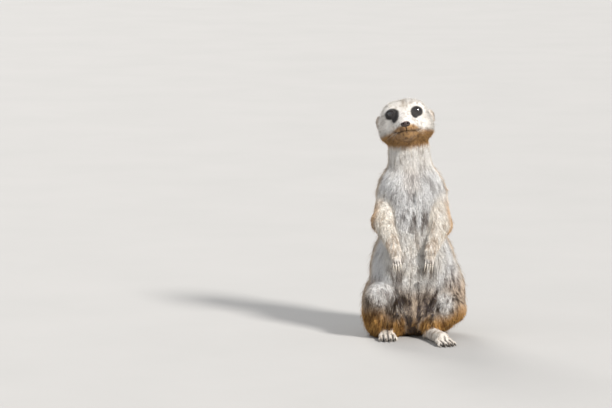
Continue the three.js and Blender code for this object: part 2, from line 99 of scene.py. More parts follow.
# Lines of the grid on which the skin is meshed: from, to and step.
GRID = [
    [(-58, -41, 1.5), (-41, -30, 1.0), (-30, 12, 0.7), (12, 42, 1.0), (42, 58, 1.5)],
    [(-86, -66, 1.0), (-66, -28, 0.75), (-28, 16, 1.5), (16, 48, 2.0), (48, 220, 3.0)],
    [(-1, 14, 0.9), (14, 60, 1.6), (60, 97, 1.0), (97, 196, 1.8), (196, 216, 0.9), (216, 244, 0.65),
     (244, 254, 0.9)],
]


# ================================================================ forms
class Form:
    """A shape given by its distance, negative inside, and by the box that holds it."""

    def __init__(self, low, high, distance):
        self.low, self.high, self.distance = np.asarray(low, float), np.asarray(high, float), distance

    def at(self, points, reach=6.0):
        """Distance at each point, or FAR where the point is well outside the box."""
        near = ((points > self.low - reach) & (points < self.high + reach)).all(axis=1)
        out = np.full(len(points), FAR)
        if near.any():
            out[near] = self.distance(points[near])
        return out


def egg(centre, radii, turn=None):
    """An ellipsoid whose own axes are the columns of turn."""
    centre, radii = np.array(centre, float), np.array(radii, float)
    turn = np.eye(3) if turn is None else turn

    def distance(points):
        local = (points - centre) @ turn
        near = np.linalg.norm(local / radii, axis=1)
        slope = np.linalg.norm(local / radii**2, axis=1)
        return near * (near - 1) / np.maximum(slope, 1e-9)

    return Form(centre - radii.max(), centre + radii.max(), distance)


def taper(start, start_radius, end, end_radius):
    """A round-ended cone between two points."""
    a, b = np.array(start, float), np.array(end, float)
    axis = b - a
    length2 = axis @ axis
    fall = start_radius - end_radius
    slant2 = length2 - fall * fall

    def distance(points):
        offset = points - a
        along = offset @ axis
        past = along - length2
        side2 = ((offset * length2 - along[:, None] * axis) ** 2).sum(axis=1)
        turn = np.sign(fall) * fall * fall * side2
        wall = (np.sqrt(side2 * slant2 / length2) + along * fall) / length2 - start_radius
        before = np.sqrt(side2 + along * along * length2) / length2 - start_radius
        after = np.sqrt(side2 + past * past * length2) / length2 - end_radius
        out = np.where(np.sign(along) * slant2 * along * along * length2 < turn, before, wall)
        return np.where(np.sign(past) * slant2 * past * past * length2 > turn, after, out)

    return Form(np.minimum(a - start_radius, b - end_radius), np.maximum(a + start_radius, b + end_radius),
                distance)


def soft_min(a, b, width):
    mix = np.maximum(width - np.abs(a - b), 0) / width
    return np.minimum(a, b) - mix * mix * width / 4


def melt(width, *forms):
    """Several forms run together with a soft seam of that width."""

    def distance(points):
        total = np.full(len(points), FAR)
        for form in forms:
            total = soft_min(total, form.at(points, width + 6), width)
        return total

    return Form(np.min([f.low for f in forms], axis=0), np.max([f.high for f in forms], axis=0), distance)


def carve(body, width, *cutters):
    """A form with others cut out of it."""

    def distance(points):
        total = body.distance(points)
        for cutter in cutters:
            total = -soft_min(-total, cutter.at(points), width)
        return total

    return Form(body.low, body.high, distance)


def sunk(form, depth):
    """A form shrunk by a depth, which is a number or a function of the points."""
    if callable(depth):
        return Form(form.low, form.high, lambda points: form.distance(points) + depth(points))
    return Form(form.low, form.high, lambda points: form.distance(points) + depth)


def step(low, high, value):
    """Smooth change from 0 at low to 1 at high."""
    share = np.clip((value - low) / (high - low), 0, 1)
    return share * share * (3 - 2 * share)


def unit(vectors):
    vectors = np.asarray(vectors, float)
    return vectors / np.maximum(np.linalg.norm(vectors, axis=-1, keepdims=True), 1e-9)


def mix(a, b, share):
    return np.asarray(a, float) + (np.asarray(b, float) - np.asarray(a, float)) * share


def mirrored(point, side):
    return (point[0] * side, point[1], point[2])


# ================================================================ head
def turned(axis, angle):
    """Rotation about the x, y or z axis."""
    c, s = math.cos(angle), math.sin(angle)
    rows = {"x": [[1, 0, 0], [0, c, -s], [0, s, c]], "y": [[c, 0, s], [0, 1, 0], [-s, 0, c]],
            "z": [[c, -s, 0], [s, c, 0], [0, 0, 1]]}
    return np.array(rows[axis])


HEAD_TURN = turned("y", -HEAD_ROLL) @ turned("x", -HEAD_PITCH) @ turned("z", -HEAD_YAW)


def on_head(point, side=1):
    return HEAD_TURN @ np.array(mirrored(point, side), float) + HEAD_CENTRE


def in_head(points):
    return (points - HEAD_CENTRE) @ HEAD_TURN


def head_egg(form, side=1):
    return egg(on_head(form[0], side), form[1], HEAD_TURN)


def head_taper(form, side=1):
    return taper(on_head(form[0], side), form[1], on_head(form[2], side), form[3])


def pair(make):
    return [make(side) for side in SIDES.values()]


def eye_frame(side):
    """Middle of the eye and its axes: across, up and the way it looks."""
    look = unit([0.42 * side, -0.9, 0.1])
    up = unit(np.array([0.12 * side, 0, 1.0]) - look * (look @ np.array([0.12 * side, 0, 1.0])))
    axes = np.stack([np.cross(look, up), up, look], axis=1)
    return on_head(EYE, side), HEAD_TURN @ axes


def eye_opening(side):
    """The almond between the lids, cut down to just under the surface of the eye."""
    centre, axes = eye_frame(side)
    almond = egg(centre + axes[:, 2] * 5, (3.75, 2.85, 4.5), axes)

    def distance(points):
        behind = EYE_RADIUS - 1.1 - np.linalg.norm(points - centre, axis=1)
        return np.maximum(almond.distance(points), behind)

    return Form(almond.low, almond.high, distance)


def mouth_line(head):
    """A fine groove between the lips, from one corner to the other."""

    def distance(points):
        local = in_head(points)
        lift = MOUTH_LIFT * step(-39, MOUTH_CORNER, local[:, 1])
        height = np.abs(local[:, 2] - (MOUTH_HEIGHT + lift)) - 0.3
        depth = -(head.distance(points) + 2.2)
        return np.maximum(np.maximum(height, depth), local[:, 1] - MOUTH_CORNER)

    return Form(on_head((0, -36, -16)) - 20, on_head((0, -36, -16)) + 20, distance)


def head_forms():
    """Skull, brows, cheeks and muzzle, as deep as the tips of the coat."""
    return carve(
        melt(HEAD_BLEND, head_egg(CRANIUM), *pair(lambda s: head_egg(BROW, s)),
             *pair(lambda s: head_egg(CHEEK, s)), head_taper(SNOUT), *pair(lambda s: head_taper(LIP, s)),
             head_taper(JAW)),
        4, *pair(lambda s: egg(on_head(ORBIT, s), (ORBIT_RADIUS,) * 3)))


def ear_forms(side):
    turn = HEAD_TURN @ turned("z", EAR_OUTWARD * side)
    flap = egg(on_head(EAR, side), EAR_SIZE, turn)
    cup = egg(on_head(CONCHA, side), CONCHA_SIZE, turn)
    fold = egg(on_head((27.2, 2.2, -1.5), side), (1.7, 1.3, 3.2), turn)
    return melt(1.2, carve(flap, 1.2, cup), fold)


# ================================================================ limbs
def arm_forms(joints):
    return melt(LIMB_BLEND, taper(joints["shoulder"], SHOULDER_RADIUS, joints["elbow"], ELBOW_RADIUS),
                taper(joints["elbow"], FOREARM_RADIUS, joints["wrist"], WRIST_RADIUS))


def leg_forms(joints):
    shin = joints["knee_radius"] - SHIN_SLIMMER
    return [egg(*joints["haunch"]), taper(joints["hip"], HIP_RADIUS, joints["knee"], joints["knee_radius"]),
            taper(joints["knee"], shin, joints["hock"], HOCK_RADIUS)]


def hand_frame(joints):
    """Knuckles and the axes of a hand: across, outward and down along the fingers."""
    wrist, knuckles = np.array(joints["wrist"], float), np.array(joints["knuckles"], float)
    down = unit(knuckles - wrist)
    across = unit(np.array([1.0, 0, 0]) - down * down[0])
    return knuckles, across, np.cross(down, across), down


def fingers(joints):
    """Each finger as its root, its tip and the tip of its claw."""
    knuckles, across, outward, down = hand_frame(joints)
    for i in range(4):
        place = i - 1.5
        sideways, length = place * FINGER_SPACING, FINGER_LENGTH - abs(place) * 0.8
        root = knuckles + across * sideways - down * 2
        tip = knuckles + across * sideways + down * length + outward * 0.4
        claw = knuckles + across * sideways * 1.15 + down * (length + FINGER_CLAW) - outward * 0.8
        yield root, tip, claw


def hand_forms(joints):
    _, across, outward, down = hand_frame(joints)
    axes = np.stack([across, -outward, -down], axis=1)
    palm = egg(mix(joints["wrist"], joints["knuckles"], 0.6), PALM, axes)
    bones = []
    for root, tip, _ in fingers(joints):
        bones.append(taper(root, FINGER * 0.9, mix(root, tip, 0.5), FINGER * 0.72))
        bones.append(taper(mix(root, tip, 0.5), FINGER * 0.72, tip, FINGER * 0.86))
    return melt(0.8, palm, *bones)


def foot_frame(joints):
    heel = np.array([joints["hock"][0], joints["hock"][1], HEEL - FLOOR_SINK])
    ball = np.array(joints["ball"], float)
    forward = unit((ball - heel) * (1, 1, 0))
    return heel, ball, forward, np.array([-forward[1], forward[0], 0])


def toes(joints):
    """Each toe as its root, its tip, and the root and tip of its claw."""
    _, ball, forward, across = foot_frame(joints)

    def place(sideways, lengthwise, height):
        return ball * (1, 1, 0) + across * sideways + forward * lengthwise + np.array([0, 0, height])

    height = TOE - FLOOR_SINK
    for i in range(4):
        order = i - 1.5
        sideways, length = order * TOE_SPACING, TOE_LENGTH - order * order * 1.1
        yield (place(sideways * 0.8, -1, height + 1.6), place(sideways, length, height),
               place(sideways, length + 0.5, height + 0.7), place(sideways * 1.05, length + TOE_CLAW, 1.1))


def foot_forms(joints):
    heel, ball, forward, _ = foot_frame(joints)
    bones = []
    for root, tip, _, _ in toes(joints):
        bones.append(taper(root, TOE + 0.2, mix(root, tip, 0.55), TOE * 0.82))
        bones.append(taper(mix(root, tip, 0.55), TOE * 0.82, tip, TOE * 0.97))
    return melt(1.4, taper(heel, HEEL, ball - forward * 3, SOLE), *bones)


def tail_radii():
    """Radius at each point of the tail, spread evenly along its length."""
    places = np.array([at for at, _ in TAIL], float)
    runs = np.concatenate([[0], np.cumsum(np.linalg.norm(np.diff(places, axis=0), axis=1))])
    return np.interp(runs / runs[-1] * (len(TAIL) - 1), range(len(TAIL)), [radius for _, radius in TAIL])


def tail_forms():
    radii = tail_radii()
    return melt(7, *[taper(TAIL[i][0], radii[i], TAIL[i + 1][0], radii[i + 1]) for i in range(len(TAIL) - 1)])


# ================================================================ the whole body
trunk = melt(TRUNK_BLEND, egg(*RUMP), egg(*BELLY), egg(*CHEST), egg(*SHOULDERS), taper(*NECK_BASE, *NAPE),
             taper(*NAPE, HEAD_CENTRE, NAPE[1]))
head = head_forms()
PARTS = {"trunk": trunk, "head": head, "tail": tail_forms()}
for side_name in SIDES:
    PARTS[f"leg_{side_name}"] = melt(LIMB_BLEND, *leg_forms(LEGS[side_name]))
    PARTS[f"arm_{side_name}"] = arm_forms(ARMS[side_name])
    PARTS[f"hand_{side_name}"] = hand_forms(ARMS[side_name])
    PARTS[f"foot_{side_name}"] = foot_forms(LEGS[side_name])
    PARTS[f"ear_{side_name}"] = ear_forms(SIDES[side_name])


def front_of(points):
    """1 on the belly side of the trunk, 0 on its back, by the angle round the midline."""
    angle = np.arctan2(np.abs(points[:, 0] - MIDLINE[0]), -(points[:, 1] - MIDLINE[1]))
    return 1 - step(math.radians(62), math.radians(104), angle)


def body_depth(points):
    """Depth of the coat on the trunk and legs: deep on the back, thin on the lower belly."""
    low_belly = front_of(points) * (1 - step(60, 100, points[:, 2]))
    return 3.0 - 0.6 * front_of(points) - 1.0 * low_belly


def head_depth(points):
    """Depth of the coat on the head: a velvet face, deeper over the crown and the cheeks' back."""
    local = in_head(points)
    cheek = step(-4, -14, local[:, 2]) * step(-34, -12, local[:, 1])
    return 0.45 + 0.9 * step(-30, 4, local[:, 1]) + 0.7 * cheek


def tail_depth(points):
    """Depth of the coat on the tail, thinner towards its tip."""
    return 2.6 - 1.2 * step(60, 200, points[:, 1])


TORSO = melt(LIMB_BLEND, trunk, *[form for side in SIDES for form in leg_forms(LEGS[side])])
TORSO_SKIN = sunk(TORSO, body_depth)
HEAD_SKIN, TAIL_SKIN = sunk(head, head_depth), sunk(PARTS["tail"], tail_depth)
# Depth of the coat on the smaller parts, how far off they still count, and the width of their seam.
SMALL_PARTS = {"arm": (1.8, 10, 3.2), "hand": (0.45, 6, 2), "foot": (0.6, 6, 3), "ear": (0.25, 6, 1.6)}


def belly_front(x, height):
    """The point of the torso's front at a place across and a height, a coat's depth down."""
    ys = np.linspace(-60, -10, 101)
    line = np.stack([np.full(101, x), ys, np.full(101, height)], axis=1)
    inside = np.nonzero(TORSO.at(line, 12) < 3)[0]
    return line[inside[0]]


TEAT_FORMS = [egg(belly_front(x, z) + (0, 0.6, 0), (1.3, 2.4, 1.5)) for x, z in TEATS]
LIDS = {name: egg(on_head(EYE, side), (EYE_RADIUS + 0.6,) * 3) for name, side in SIDES.items()}
CUTS = [                        # mouth, groove under the nose, eyes, sternal notch and crease of the crown
    (mouth_line(head), 0.5),
    (egg(on_head((0, -43.5, -13.6)), (0.5, 6, 2.6), HEAD_TURN), 0.8),
    *[(eye_opening(side), 0.35) for side in SIDES.values()],
    (egg((-1.8, -36, 147), (2.0, 4.5, 8)), 5),
    (egg(on_head((-1.6, -4, 26)), (1.6, 15, 3.4), HEAD_TURN), 6),
]


def skin_distance(points):
    """Distance to the skin, which lies under the coat everywhere."""
    total = TORSO_SKIN.at(points, 12)
    total = soft_min(total, HEAD_SKIN.at(points, 12), NAPE_BLEND)
    total = soft_min(total, TAIL_SKIN.at(points, 12), 8)
    for side in SIDES:
        for kind, (depth, reach, seam) in SMALL_PARTS.items():
            total = soft_min(total, sunk(PARTS[f"{kind}_{side}"], depth).at(points, reach), seam)
        total = soft_min(total, LIDS[side].at(points), 1.8)
    for teat in TEAT_FORMS:
        total = soft_min(total, teat.at(points), 1.5)
    for cut, width in CUTS:
        total = -soft_min(-total, cut.at(points), width)
    return np.maximum(total, 0.1 - points[:, 2])


def onto(distance, points, rounds=2, probe=0.1):
    """Slides points along the slope of a distance until they lie on its surface. Returns the slope too."""
    slope = np.zeros_like(points)
    for _ in range(rounds):
        value = distance(points)
        for axis in range(3):
            beside = points.copy()
            beside[:, axis] += probe
            slope[:, axis] = (distance(beside) - value) / probe
        steepness = np.maximum((slope**2).sum(axis=1), 0.2)
        slide = np.clip(-value / steepness, -0.8, 0.8)
        points = points + slope * slide[:, None]
    return points, unit(slope)


# ================================================================ meshing the skin
def grid_lines(runs):
    return np.concatenate([np.arange(low, high - 1e-6, gap) for low, high, gap in runs] + [[runs[-1][1]]])


def sampled(distance, lines, slab=8):
    """The distance at every node of the grid, a few layers at a time, with the rim outside."""
    values = np.empty([len(line) for line in lines], np.float32)
    for k in range(0, len(lines[2]), slab):
        points = np.stack(np.meshgrid(lines[0], lines[1], lines[2][k:k + slab], indexing="ij"), axis=-1)
        values[:, :, k:k + slab] = distance(points.reshape(-1, 3)).reshape(points.shape[:3])
    for axis in range(3):
        rim = np.moveaxis(values, axis, 0)
        rim[0] = rim[-1] = 1
    return values


def wrapped(distance, lines):
    """Meshes the zero surface: a vertex in each crossed cell, a quad round each crossed edge."""
    values = sampled(distance, lines)
    inside = values < 0
    corners = [(a, b, c) for c in (0, 1) for b in (0, 1) for a in (0, 1)]
    nx, ny, nz = values.shape
    count = sum(inside[a:nx - 1 + a, b:ny - 1 + b, c:nz - 1 + c].astype(np.int8) for a, b, c in corners)
    cells = np.argwhere((count > 0) & (count < 8))
    index = np.full((nx, ny, nz), -1)
    index[tuple(cells.T)] = np.arange(len(cells))
    at_corner = [values[tuple((cells + corner).T)] for corner in corners]
    place = [np.stack([lines[n][cells[:, n] + corner[n]] for n in range(3)], axis=1) for corner in corners]
    total = np.zeros((len(cells), 3))
    crossings = np.zeros(len(cells))
    for stride in (1, 2, 4):
        for n in range(8):
            if n & stride:
                continue
            a, b = at_corner[n], at_corner[n + stride]
            crossed = (a < 0) != (b < 0)
            share = np.where(crossed, a / np.where(crossed, a - b, 1), 0)[:, None]
            total += np.where(crossed[:, None], place[n] + (place[n + stride] - place[n]) * share, 0)
            crossings += crossed
    quads = []
    for axis in range(3):
        ahead = np.eye(3, dtype=int)[axis]
        u, v = np.eye(3, dtype=int)[(axis + 1) % 3], np.eye(3, dtype=int)[(axis + 2) % 3]
        size = np.array(values.shape) - 1
        here = inside[:size[0], :size[1], :size[2]]
        there = inside[ahead[0]:size[0] + ahead[0], ahead[1]:size[1] + ahead[1], ahead[2]:size[2] + ahead[2]]
        edges = np.argwhere(here != there)
        around = [edges - a * u - b * v for a, b in ((0, 0), (1, 0), (1, 1), (0, 1))]
        ring = np.stack([index[tuple(cell.T)] for cell in around], axis=1)
        flip = ~here[tuple(edges.T)]
        ring[flip] = ring[flip][:, ::-1]
        quads.append(ring)
    return total / crossings[:, None], np.concatenate(quads)


def mesh_object(name, points, faces, material, attributes=None, uv=None):
    """A smooth mesh of triangles or quads, from arrays in millimetres, that rides on the body."""
    mesh = bpy.data.meshes.new(name)
    sides = faces.shape[1]
    mesh.vertices.add(len(points))
    mesh.vertices.foreach_set("co", (np.asarray(points) * MM).astype(np.float32).ravel())
    mesh.loops.add(faces.size)
    mesh.loops.foreach_set("vertex_index", faces.astype(np.int32).ravel())
    mesh.polygons.add(len(faces))
    mesh.polygons.foreach_set("loop_start", np.arange(0, faces.size, sides, dtype=np.int32))
    mesh.polygons.foreach_set("use_smooth", np.ones(len(faces), bool))
    if uv is not None:
        layer = mesh.uv_layers.new(name="OFBake")
        layer.data.foreach_set("uv", uv[faces.ravel()].astype(np.float32).ravel())
    for key, values in (attributes or {}).items():
        layer = mesh.attributes.new(key, "FLOAT_VECTOR", "POINT")
        layer.data.foreach_set("vector", values.astype(np.float32).ravel())
    mesh.update(calc_edges=True)
    mesh.materials.append(material)
    piece = bpy.data.objects.new(name, mesh)
    bpy.context.scene.collection.objects.link(piece)
    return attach(piece, "root")


# ================================================================ markings
def blot(local, centre, radii, soft=0.3):
    """1 inside an egg-shaped patch, fading out over a share of its size."""
    near = np.linalg.norm((local - np.array(centre)) / np.array(radii), axis=1)
    return 1 - step(1 - soft, 1 + soft, near)


def nearness(points, name, width=3.0):
    """How much a point belongs to a part of the body: 1 within its coat, 0 at a width away from it."""
    return 1 - step(-0.3, width, PARTS[name].at(points, width + 8))


def wave(points, scale, turn=0.0):
    """A slow, uneven ripple between -1 and 1, the same for skin and coat."""
    x, y, z = (points / scale).T
    return (np.sin(x * 1.7 + 1.3 * np.sin(y * 1.1 + turn) + turn)
            + np.sin(y * 1.3 + 1.7 * np.sin(z * 0.9 + 2 * turn))
            + np.sin(z * 1.5 + 1.1 * np.sin(x * 1.9 - turn))) / 3


def chance(cells, seed):
    """A number from 0 to 1 for each whole-number cell, always the same one."""
    mixed = np.sin(cells @ np.array([12.9898, 78.233, 37.719]) + seed * 4.1) * 43758.5453
    return mixed - np.floor(mixed)


def cloud(points, sizes, seed):
    """Smooth chance values from 0 to 1, with patches of those sizes along x, y and z."""
    places = points / np.array(sizes, float)
    cells = np.floor(places)
    share = places - cells
    share = share * share * (3 - 2 * share)
    total = np.zeros(len(points))
    for corner in np.ndindex(2, 2, 2):
        weight = np.prod(np.where(corner, share, 1 - share), axis=1)
        total += weight * chance(cells + corner, seed)
    return total


def streaks(points):
    """Dark partings between locks, from 0 to 1: long down the body and along the tail, short on the head."""
    along_body = 0.6 * cloud(points, (2.6, 2.6, 11), 1) + 0.4 * cloud(points, (1.3, 1.3, 6), 2)
    along_tail = cloud(points, (2.4, 9, 2.4), 3)
    along_head = 0.5 * cloud(in_head(points), (1.8, 3.5, 1.8), 4) + 0.25
    value = mix(along_body, along_tail, step(40, 60, points[:, 1]))
    value = mix(value, along_head, step(196, 206, points[:, 2]))
    return step(0.15, 0.85, value)


def digit_gap_shade(points):
    """Painted shade: 1 in the furrows between fingers and between toes."""
    gaps = np.zeros(len(points))
    for name in SIDES:
        knuckles, across, _, down = hand_frame(ARMS[name])
        _, ball, forward, sideways = foot_frame(LEGS[name])
        paws = ((knuckles, across, down, FINGER_SPACING, -1.5, 12),
                (ball, sideways, forward, TOE_SPACING, 1, 17))
        for middle, beside, ahead, spacing, start, reach in paws:
            offset = points - middle
            place, length = offset @ beside, offset @ ahead
            near = np.min([np.abs(place - n * spacing) for n in (-1, 0, 1)], axis=0)
            close = (np.linalg.norm(offset, axis=1) < reach) * step(start, start + 2.5, length)
            gaps = np.maximum(gaps, close * (1 - step(0.1, 0.32, near / spacing)))
    return gaps


# Egg of pale fur and painted highlight on the crest of each knee, its middle measured from the joint.
KNEE_CAPS = {"right": ((0, -8, 9), (15, 22, 15)), "left": ((-7, -8, 9), (10, 22, 13))}
# Painted shadow: the right eye's eggs are larger than the left's, the extra standing for the shade of the
# brow and muzzle on that side.
EYE_PATCHES_AND_SHADOW = {                 # eggs of dark fur round each eye, the last one running down beside the nose
    "right": [((12.8, -22, 5.2), (7.9, 14, 6.0)), ((9.6, -25, 0.6), (4.2, 13, 7.4))],
    "left": [((12.9, -22, 4.9), (6.5, 14, 5.7)), ((10.6, -25, 2.0), (3.8, 13, 4.8))],
}


BAND_SPACING = 15               # from one dark band of the back to the next


def markings(points):
    """Shares of the coat's colours at each point: one array of three for tan, dark and grizzle,
    and one for band, bare and cool. Dark and bare also hold painted shade: in the furrows between the
    digits, beside the right eye, under the hands, under the jaw and in the creases of the groin."""
    x, y, z = points.T
    ripple = wave(points, 9)
    front = front_of(points)
    across = np.abs(x - MIDLINE[0])
    tan, dark, bare, arm = np.zeros((4, len(points)))

    # trunk: pale in front, grizzled behind, brown and thinly haired low on the belly
    grizzle = 1 - front
    caps = {name: blot(points, np.add(joints["knee"], KNEE_CAPS[name][0]), KNEE_CAPS[name][1], 0.5)
            * nearness(points, f"leg_{name}", 7) for name, joints in LEGS.items()}
    low = front * (1 - step(42, 66, z + 3 * ripple)) * (1 - 0.75 * np.maximum(caps["right"], caps["left"]))
    ridge = blot(points, (-0.5, -40, 44), (3.0, 30, 28))
    # groin: darker along the creases between the thighs and the belly, partly thinly haired skin and partly
    # painted shade in the creases
    groin = np.exp(-((across - 17) / 9) ** 2) * (1 - step(38, 56, z)) * step(6, 16, z)
    bare += low * (0.9 + 0.1 * groin) * (1 - 0.8 * ridge)
    dark += 0.6 * front * np.maximum(groin, 0.6 * low) * step(0.4, 0.7, streaks(points)) * (1 - ridge)
    tan += 0.45 * low + 0.75 * front * step(0.02, 0.6, 1 - front)
    tan += 0.12 * blot(points, (-4, -34, 168), (9, 14, 14), 0.5)
    bare += 0.5 * front * blot(points, (0, -36, 127), (24, 30, 12), 0.4) * step(0.35, 0.8, streaks(points))
    tan += 0.8 * (1 - step(8, 30, z)) * front

    # legs: cool white at the knee and inside, with a painted highlight on the knee's crest, golden below and
    # outside
    for name, joints in LEGS.items():
        near = nearness(points, f"leg_{name}", 7)
        knee = np.array(joints["knee"])
        inner = step(6, -18, SIDES[name] * (x - knee[0])) * step(18, 40, z)
        crest = caps[name]
        gold = near * (1 - 0.95 * np.maximum(inner, crest)) * (1 - step(50, 80, z))
        gold = gold * (1 - 0.6 * step(-18, 14, y)) * (1 - 0.5 * step(24, 44, z + 4 * ripple))
        tan = mix(tan, gold, step(0.1, 0.7, near))
        thin = inner * (1 - crest) + 0.8 * step(0.4, 0.8, streaks(points)) * (SIDES[name] > 0)
        bare += 0.5 * near * thin * step(24, 34, z)
        grizzle = np.maximum(grizzle * (1 - gold), 0.85 * near * step(-22, 2, y))
        bare = mix(bare, 0, step(0.3, 0.8, gold))

    # arms: cream in front, golden along the outer edge
    for name, joints in ARMS.items():
        near = step(0.1, 0.9, nearness(points, f"arm_{name}", 5)) * step(160, 138, z)
        middle = np.interp(z, [95, 120, 148], [joints[key][0] for key in ("wrist", "elbow", "shoulder")])
        outer = step(6, 12, SIDES[name] * (x - middle) + 0.2 * (y + 27) + 1.5 * ripple) * step(156, 128, z)
        wrist = 0.3 * step(114, 98, z) * step(0.3, 0.8, streaks(points))
        tan = mix(tan, 0.03 + wrist + 0.7 * outer, near)
        bare = mix(bare, 0, near)
        arm = np.maximum(arm, near)
        grizzle = mix(grizzle, 0.6 * step(-8, 10, y), near)

    # neck and head
    local = in_head(points)
    hx, hy, hz = local.T
    on_face = nearness(points, "head", 5) * step(196, 204, z)
    jaw = step(-12, -16, hz + 1.2 * ripple + 0.12 * (hy + 20))
    tan = mix(tan, 0.95 * jaw + 0.35 * step(-2, 10, hy), on_face)
    # painted shade: the lower jaw and chin darkened towards bare skin, the shade under the head, on top of
    # the jaw's tan
    bare = mix(bare, 0.3 * jaw, on_face)
    # painted shade: a grey stripe down the middle of the crown, in its crease
    parting_shade = 0.5 * np.exp(-(hx / 3.5) ** 2) * step(6, 14, hz)
    fleck = 0.10 + 0.24 * cloud(points, (3, 3, 3), 7)
    grizzle = mix(grizzle, np.maximum(0.8 * step(2, 14, hy + 0.2 * hz), parting_shade + fleck), on_face)
    ragged = 0.6 * (cloud(points, (2.2, 2.2, 2.2), 5) - 0.5) * on_face
    for name, sign in SIDES.items():
        eye = local * (sign, 1, 1) + ragged[:, None]
        patch = np.max([blot(eye, centre, radii, 0.16) for centre, radii in EYE_PATCHES_AND_SHADOW[name]], axis=0)
        dark = np.maximum(dark, 0.96 * patch)
        crescent = blot(eye, (31.0, 11.5, 0.6), (5.0, 4.6, 5.0), 0.3)
        dark = np.maximum(dark, 0.85 * crescent * step(25, 28, eye[:, 0]))
    lip_height = MOUTH_HEIGHT + MOUTH_LIFT * step(-39, MOUTH_CORNER, hy)
    lips = np.exp(-((hz - lip_height + 0.3) / 0.9) ** 2) * step(-23, -30, hy)
    dark = np.maximum(dark, 0.6 * lips * on_face)
    lip_tan = np.exp(-((hz - MOUTH_HEIGHT - 2.4) / 1.3) ** 2) * step(-37, -41, hy) * (np.abs(hx) < 6)
    tan = np.maximum(tan, lip_tan * on_face)

    # paws and tail, and a painted shadow of each hand on the belly
    for name in SIDES:
        paw = np.maximum(nearness(points, f"hand_{name}", 3), nearness(points, f"foot_{name}", 3) * (y < -22))
        # painted shadow: the belly behind and below each hand's fingers is darkened towards bare skin
        hand_shadow_middle = np.array(ARMS[name]["knuckles"]) + (0, 6, -12)
        bare += 0.55 * blot(points, hand_shadow_middle, (9, 12, 13), 0.4) * (1 - nearness(points, f"hand_{name}", 1.5))
        tan, bare, dark = mix(tan, 0.10, paw), mix(bare, 0.05, paw), mix(dark, 0, paw)
        grizzle = mix(grizzle, 0, paw)
    on_tail = step(40, 54, y)
    tan = mix(tan, 0.5, on_tail)
    bare = mix(bare, 0, on_tail)
    grizzle = mix(grizzle, 0.55, on_tail)
    dark = np.maximum(dark, step(158, 184, y + 4 * ripple))

    for tx, tz in TEATS:
        spot = np.exp(-(((x - tx) / 1.5) ** 2 + ((z - tz) / 1.8) ** 2))
        dark = np.maximum(dark, 0.75 * spot * (y < -15))
    stripes = step(0.1, 0.85, np.sin(z * 2 * math.pi / BAND_SPACING + 0.9 * np.sin(x / 13) + 0.6 * ripple))
    stripes *= 0.5 + 0.35 * cloud(points, (5, 5, 7), 8)
    band = stripes * (1 - front) * (1 - step(120, 150, z)) * step(24, 40, z) * (1 - on_tail) * step(-16, 4, y)
    cool = front * (0.5 - 0.3 * blot(points, (0, -40, 88), (30, 30, 30), 0.4) - 0.25 * step(168, 186, z))
    cool *= (1 - 0.8 * low) * (1 - arm)
    cool = mix(cool, 0.25, on_face)
    # painted shade, near black, in the furrows between the digits
    dark = np.maximum(dark, 0.85 * digit_gap_shade(points))
    shares = np.clip(np.stack([tan, dark, grizzle, band, bare, cool], axis=1), 0, 1)
    return shares[:, :3], shares[:, 3:]


# ================================================================ shader groups
def add_node(tree, kind, inputs=None, **settings):
    """A shader node with its settings, and with values or links on its inputs."""
    made = tree.nodes.new(kind)
    for key, value in settings.items():
        setattr(made, key, value)
    for key, value in (inputs or {}).items():
        if isinstance(value, bpy.types.NodeSocket):
            tree.links.new(value, made.inputs[key])
        else:
            made.inputs[key].default_value = value
    return made


def blended(tree, share, a, b, way="MIX"):
    made = add_node(tree, "ShaderNodeMix", data_type="RGBA", blend_type=way)
    for index, value in ((0, share), (6, a), (7, b)):
        if isinstance(value, bpy.types.NodeSocket):
            tree.links.new(value, made.inputs[index])
        else:
            made.inputs[index].default_value = value
    return made.outputs[2]


def sum_of(tree, operation, a, b=0.0, c=0.0, clamp=False):
    made = add_node(tree, "ShaderNodeMath", {0: a, 1: b, 2: c}, operation=operation, use_clamp=clamp)
    return made.outputs[0]


def noise(tree, scale, detail=3.0):
    place = add_node(tree, "ShaderNodeTexCoord").outputs["Object"]
    made = add_node(tree, "ShaderNodeTexNoise",
                    {"Vector": place, "Scale": scale, "Detail": detail, "Roughness": 0.55})
    return made.outputs["Fac"]


def new_group(name, inputs, outputs):
    """An empty shader group with named sockets: {name: (kind, default)} in and {name: kind} out."""
    tree = bpy.data.node_groups.new(name, "ShaderNodeTree")
    for key, (kind, default) in inputs.items():
        tree.interface.new_socket(key, in_out="INPUT", socket_type=kind).default_value = default
    for key, kind in outputs.items():
        tree.interface.new_socket(key, in_out="OUTPUT", socket_type=kind)
    return tree, tree.nodes.new("NodeGroupInput").outputs, tree.nodes.new("NodeGroupOutput").inputs


COLOUR, NUMBER, VECTOR = "NodeSocketColor", "NodeSocketFloat", "NodeSocketVector"
WHITE, CREAM, COOL = (0.90, 0.88, 0.85, 1), (0.84, 0.78, 0.67, 1), (0.84, 0.86, 0.90, 1)
# SOOT also paints the shade in the furrows between the digits and the shadow beside the right eye.
GOLD, RUST, SOOT = (0.66, 0.38, 0.12, 1), (0.34, 0.155, 0.045, 1), (0.008, 0.007, 0.008, 1)
WARM_SHADE, COOL_SHADE = (0.42, 0.34, 0.27, 1), (0.30, 0.32, 0.37, 1)
AGOUTI_PALE, AGOUTI_DARK = (0.56, 0.45, 0.31, 1), (0.12, 0.085, 0.055, 1)
BAND_BROWN = (0.055, 0.034, 0.022, 1)
# THIN_HAIR and BARE_SKIN also paint the shade under the hands, under the jaw and in the creases of the groin.
THIN_HAIR, BARE_SKIN = (0.15, 0.105, 0.07, 1), (0.075, 0.062, 0.064, 1)


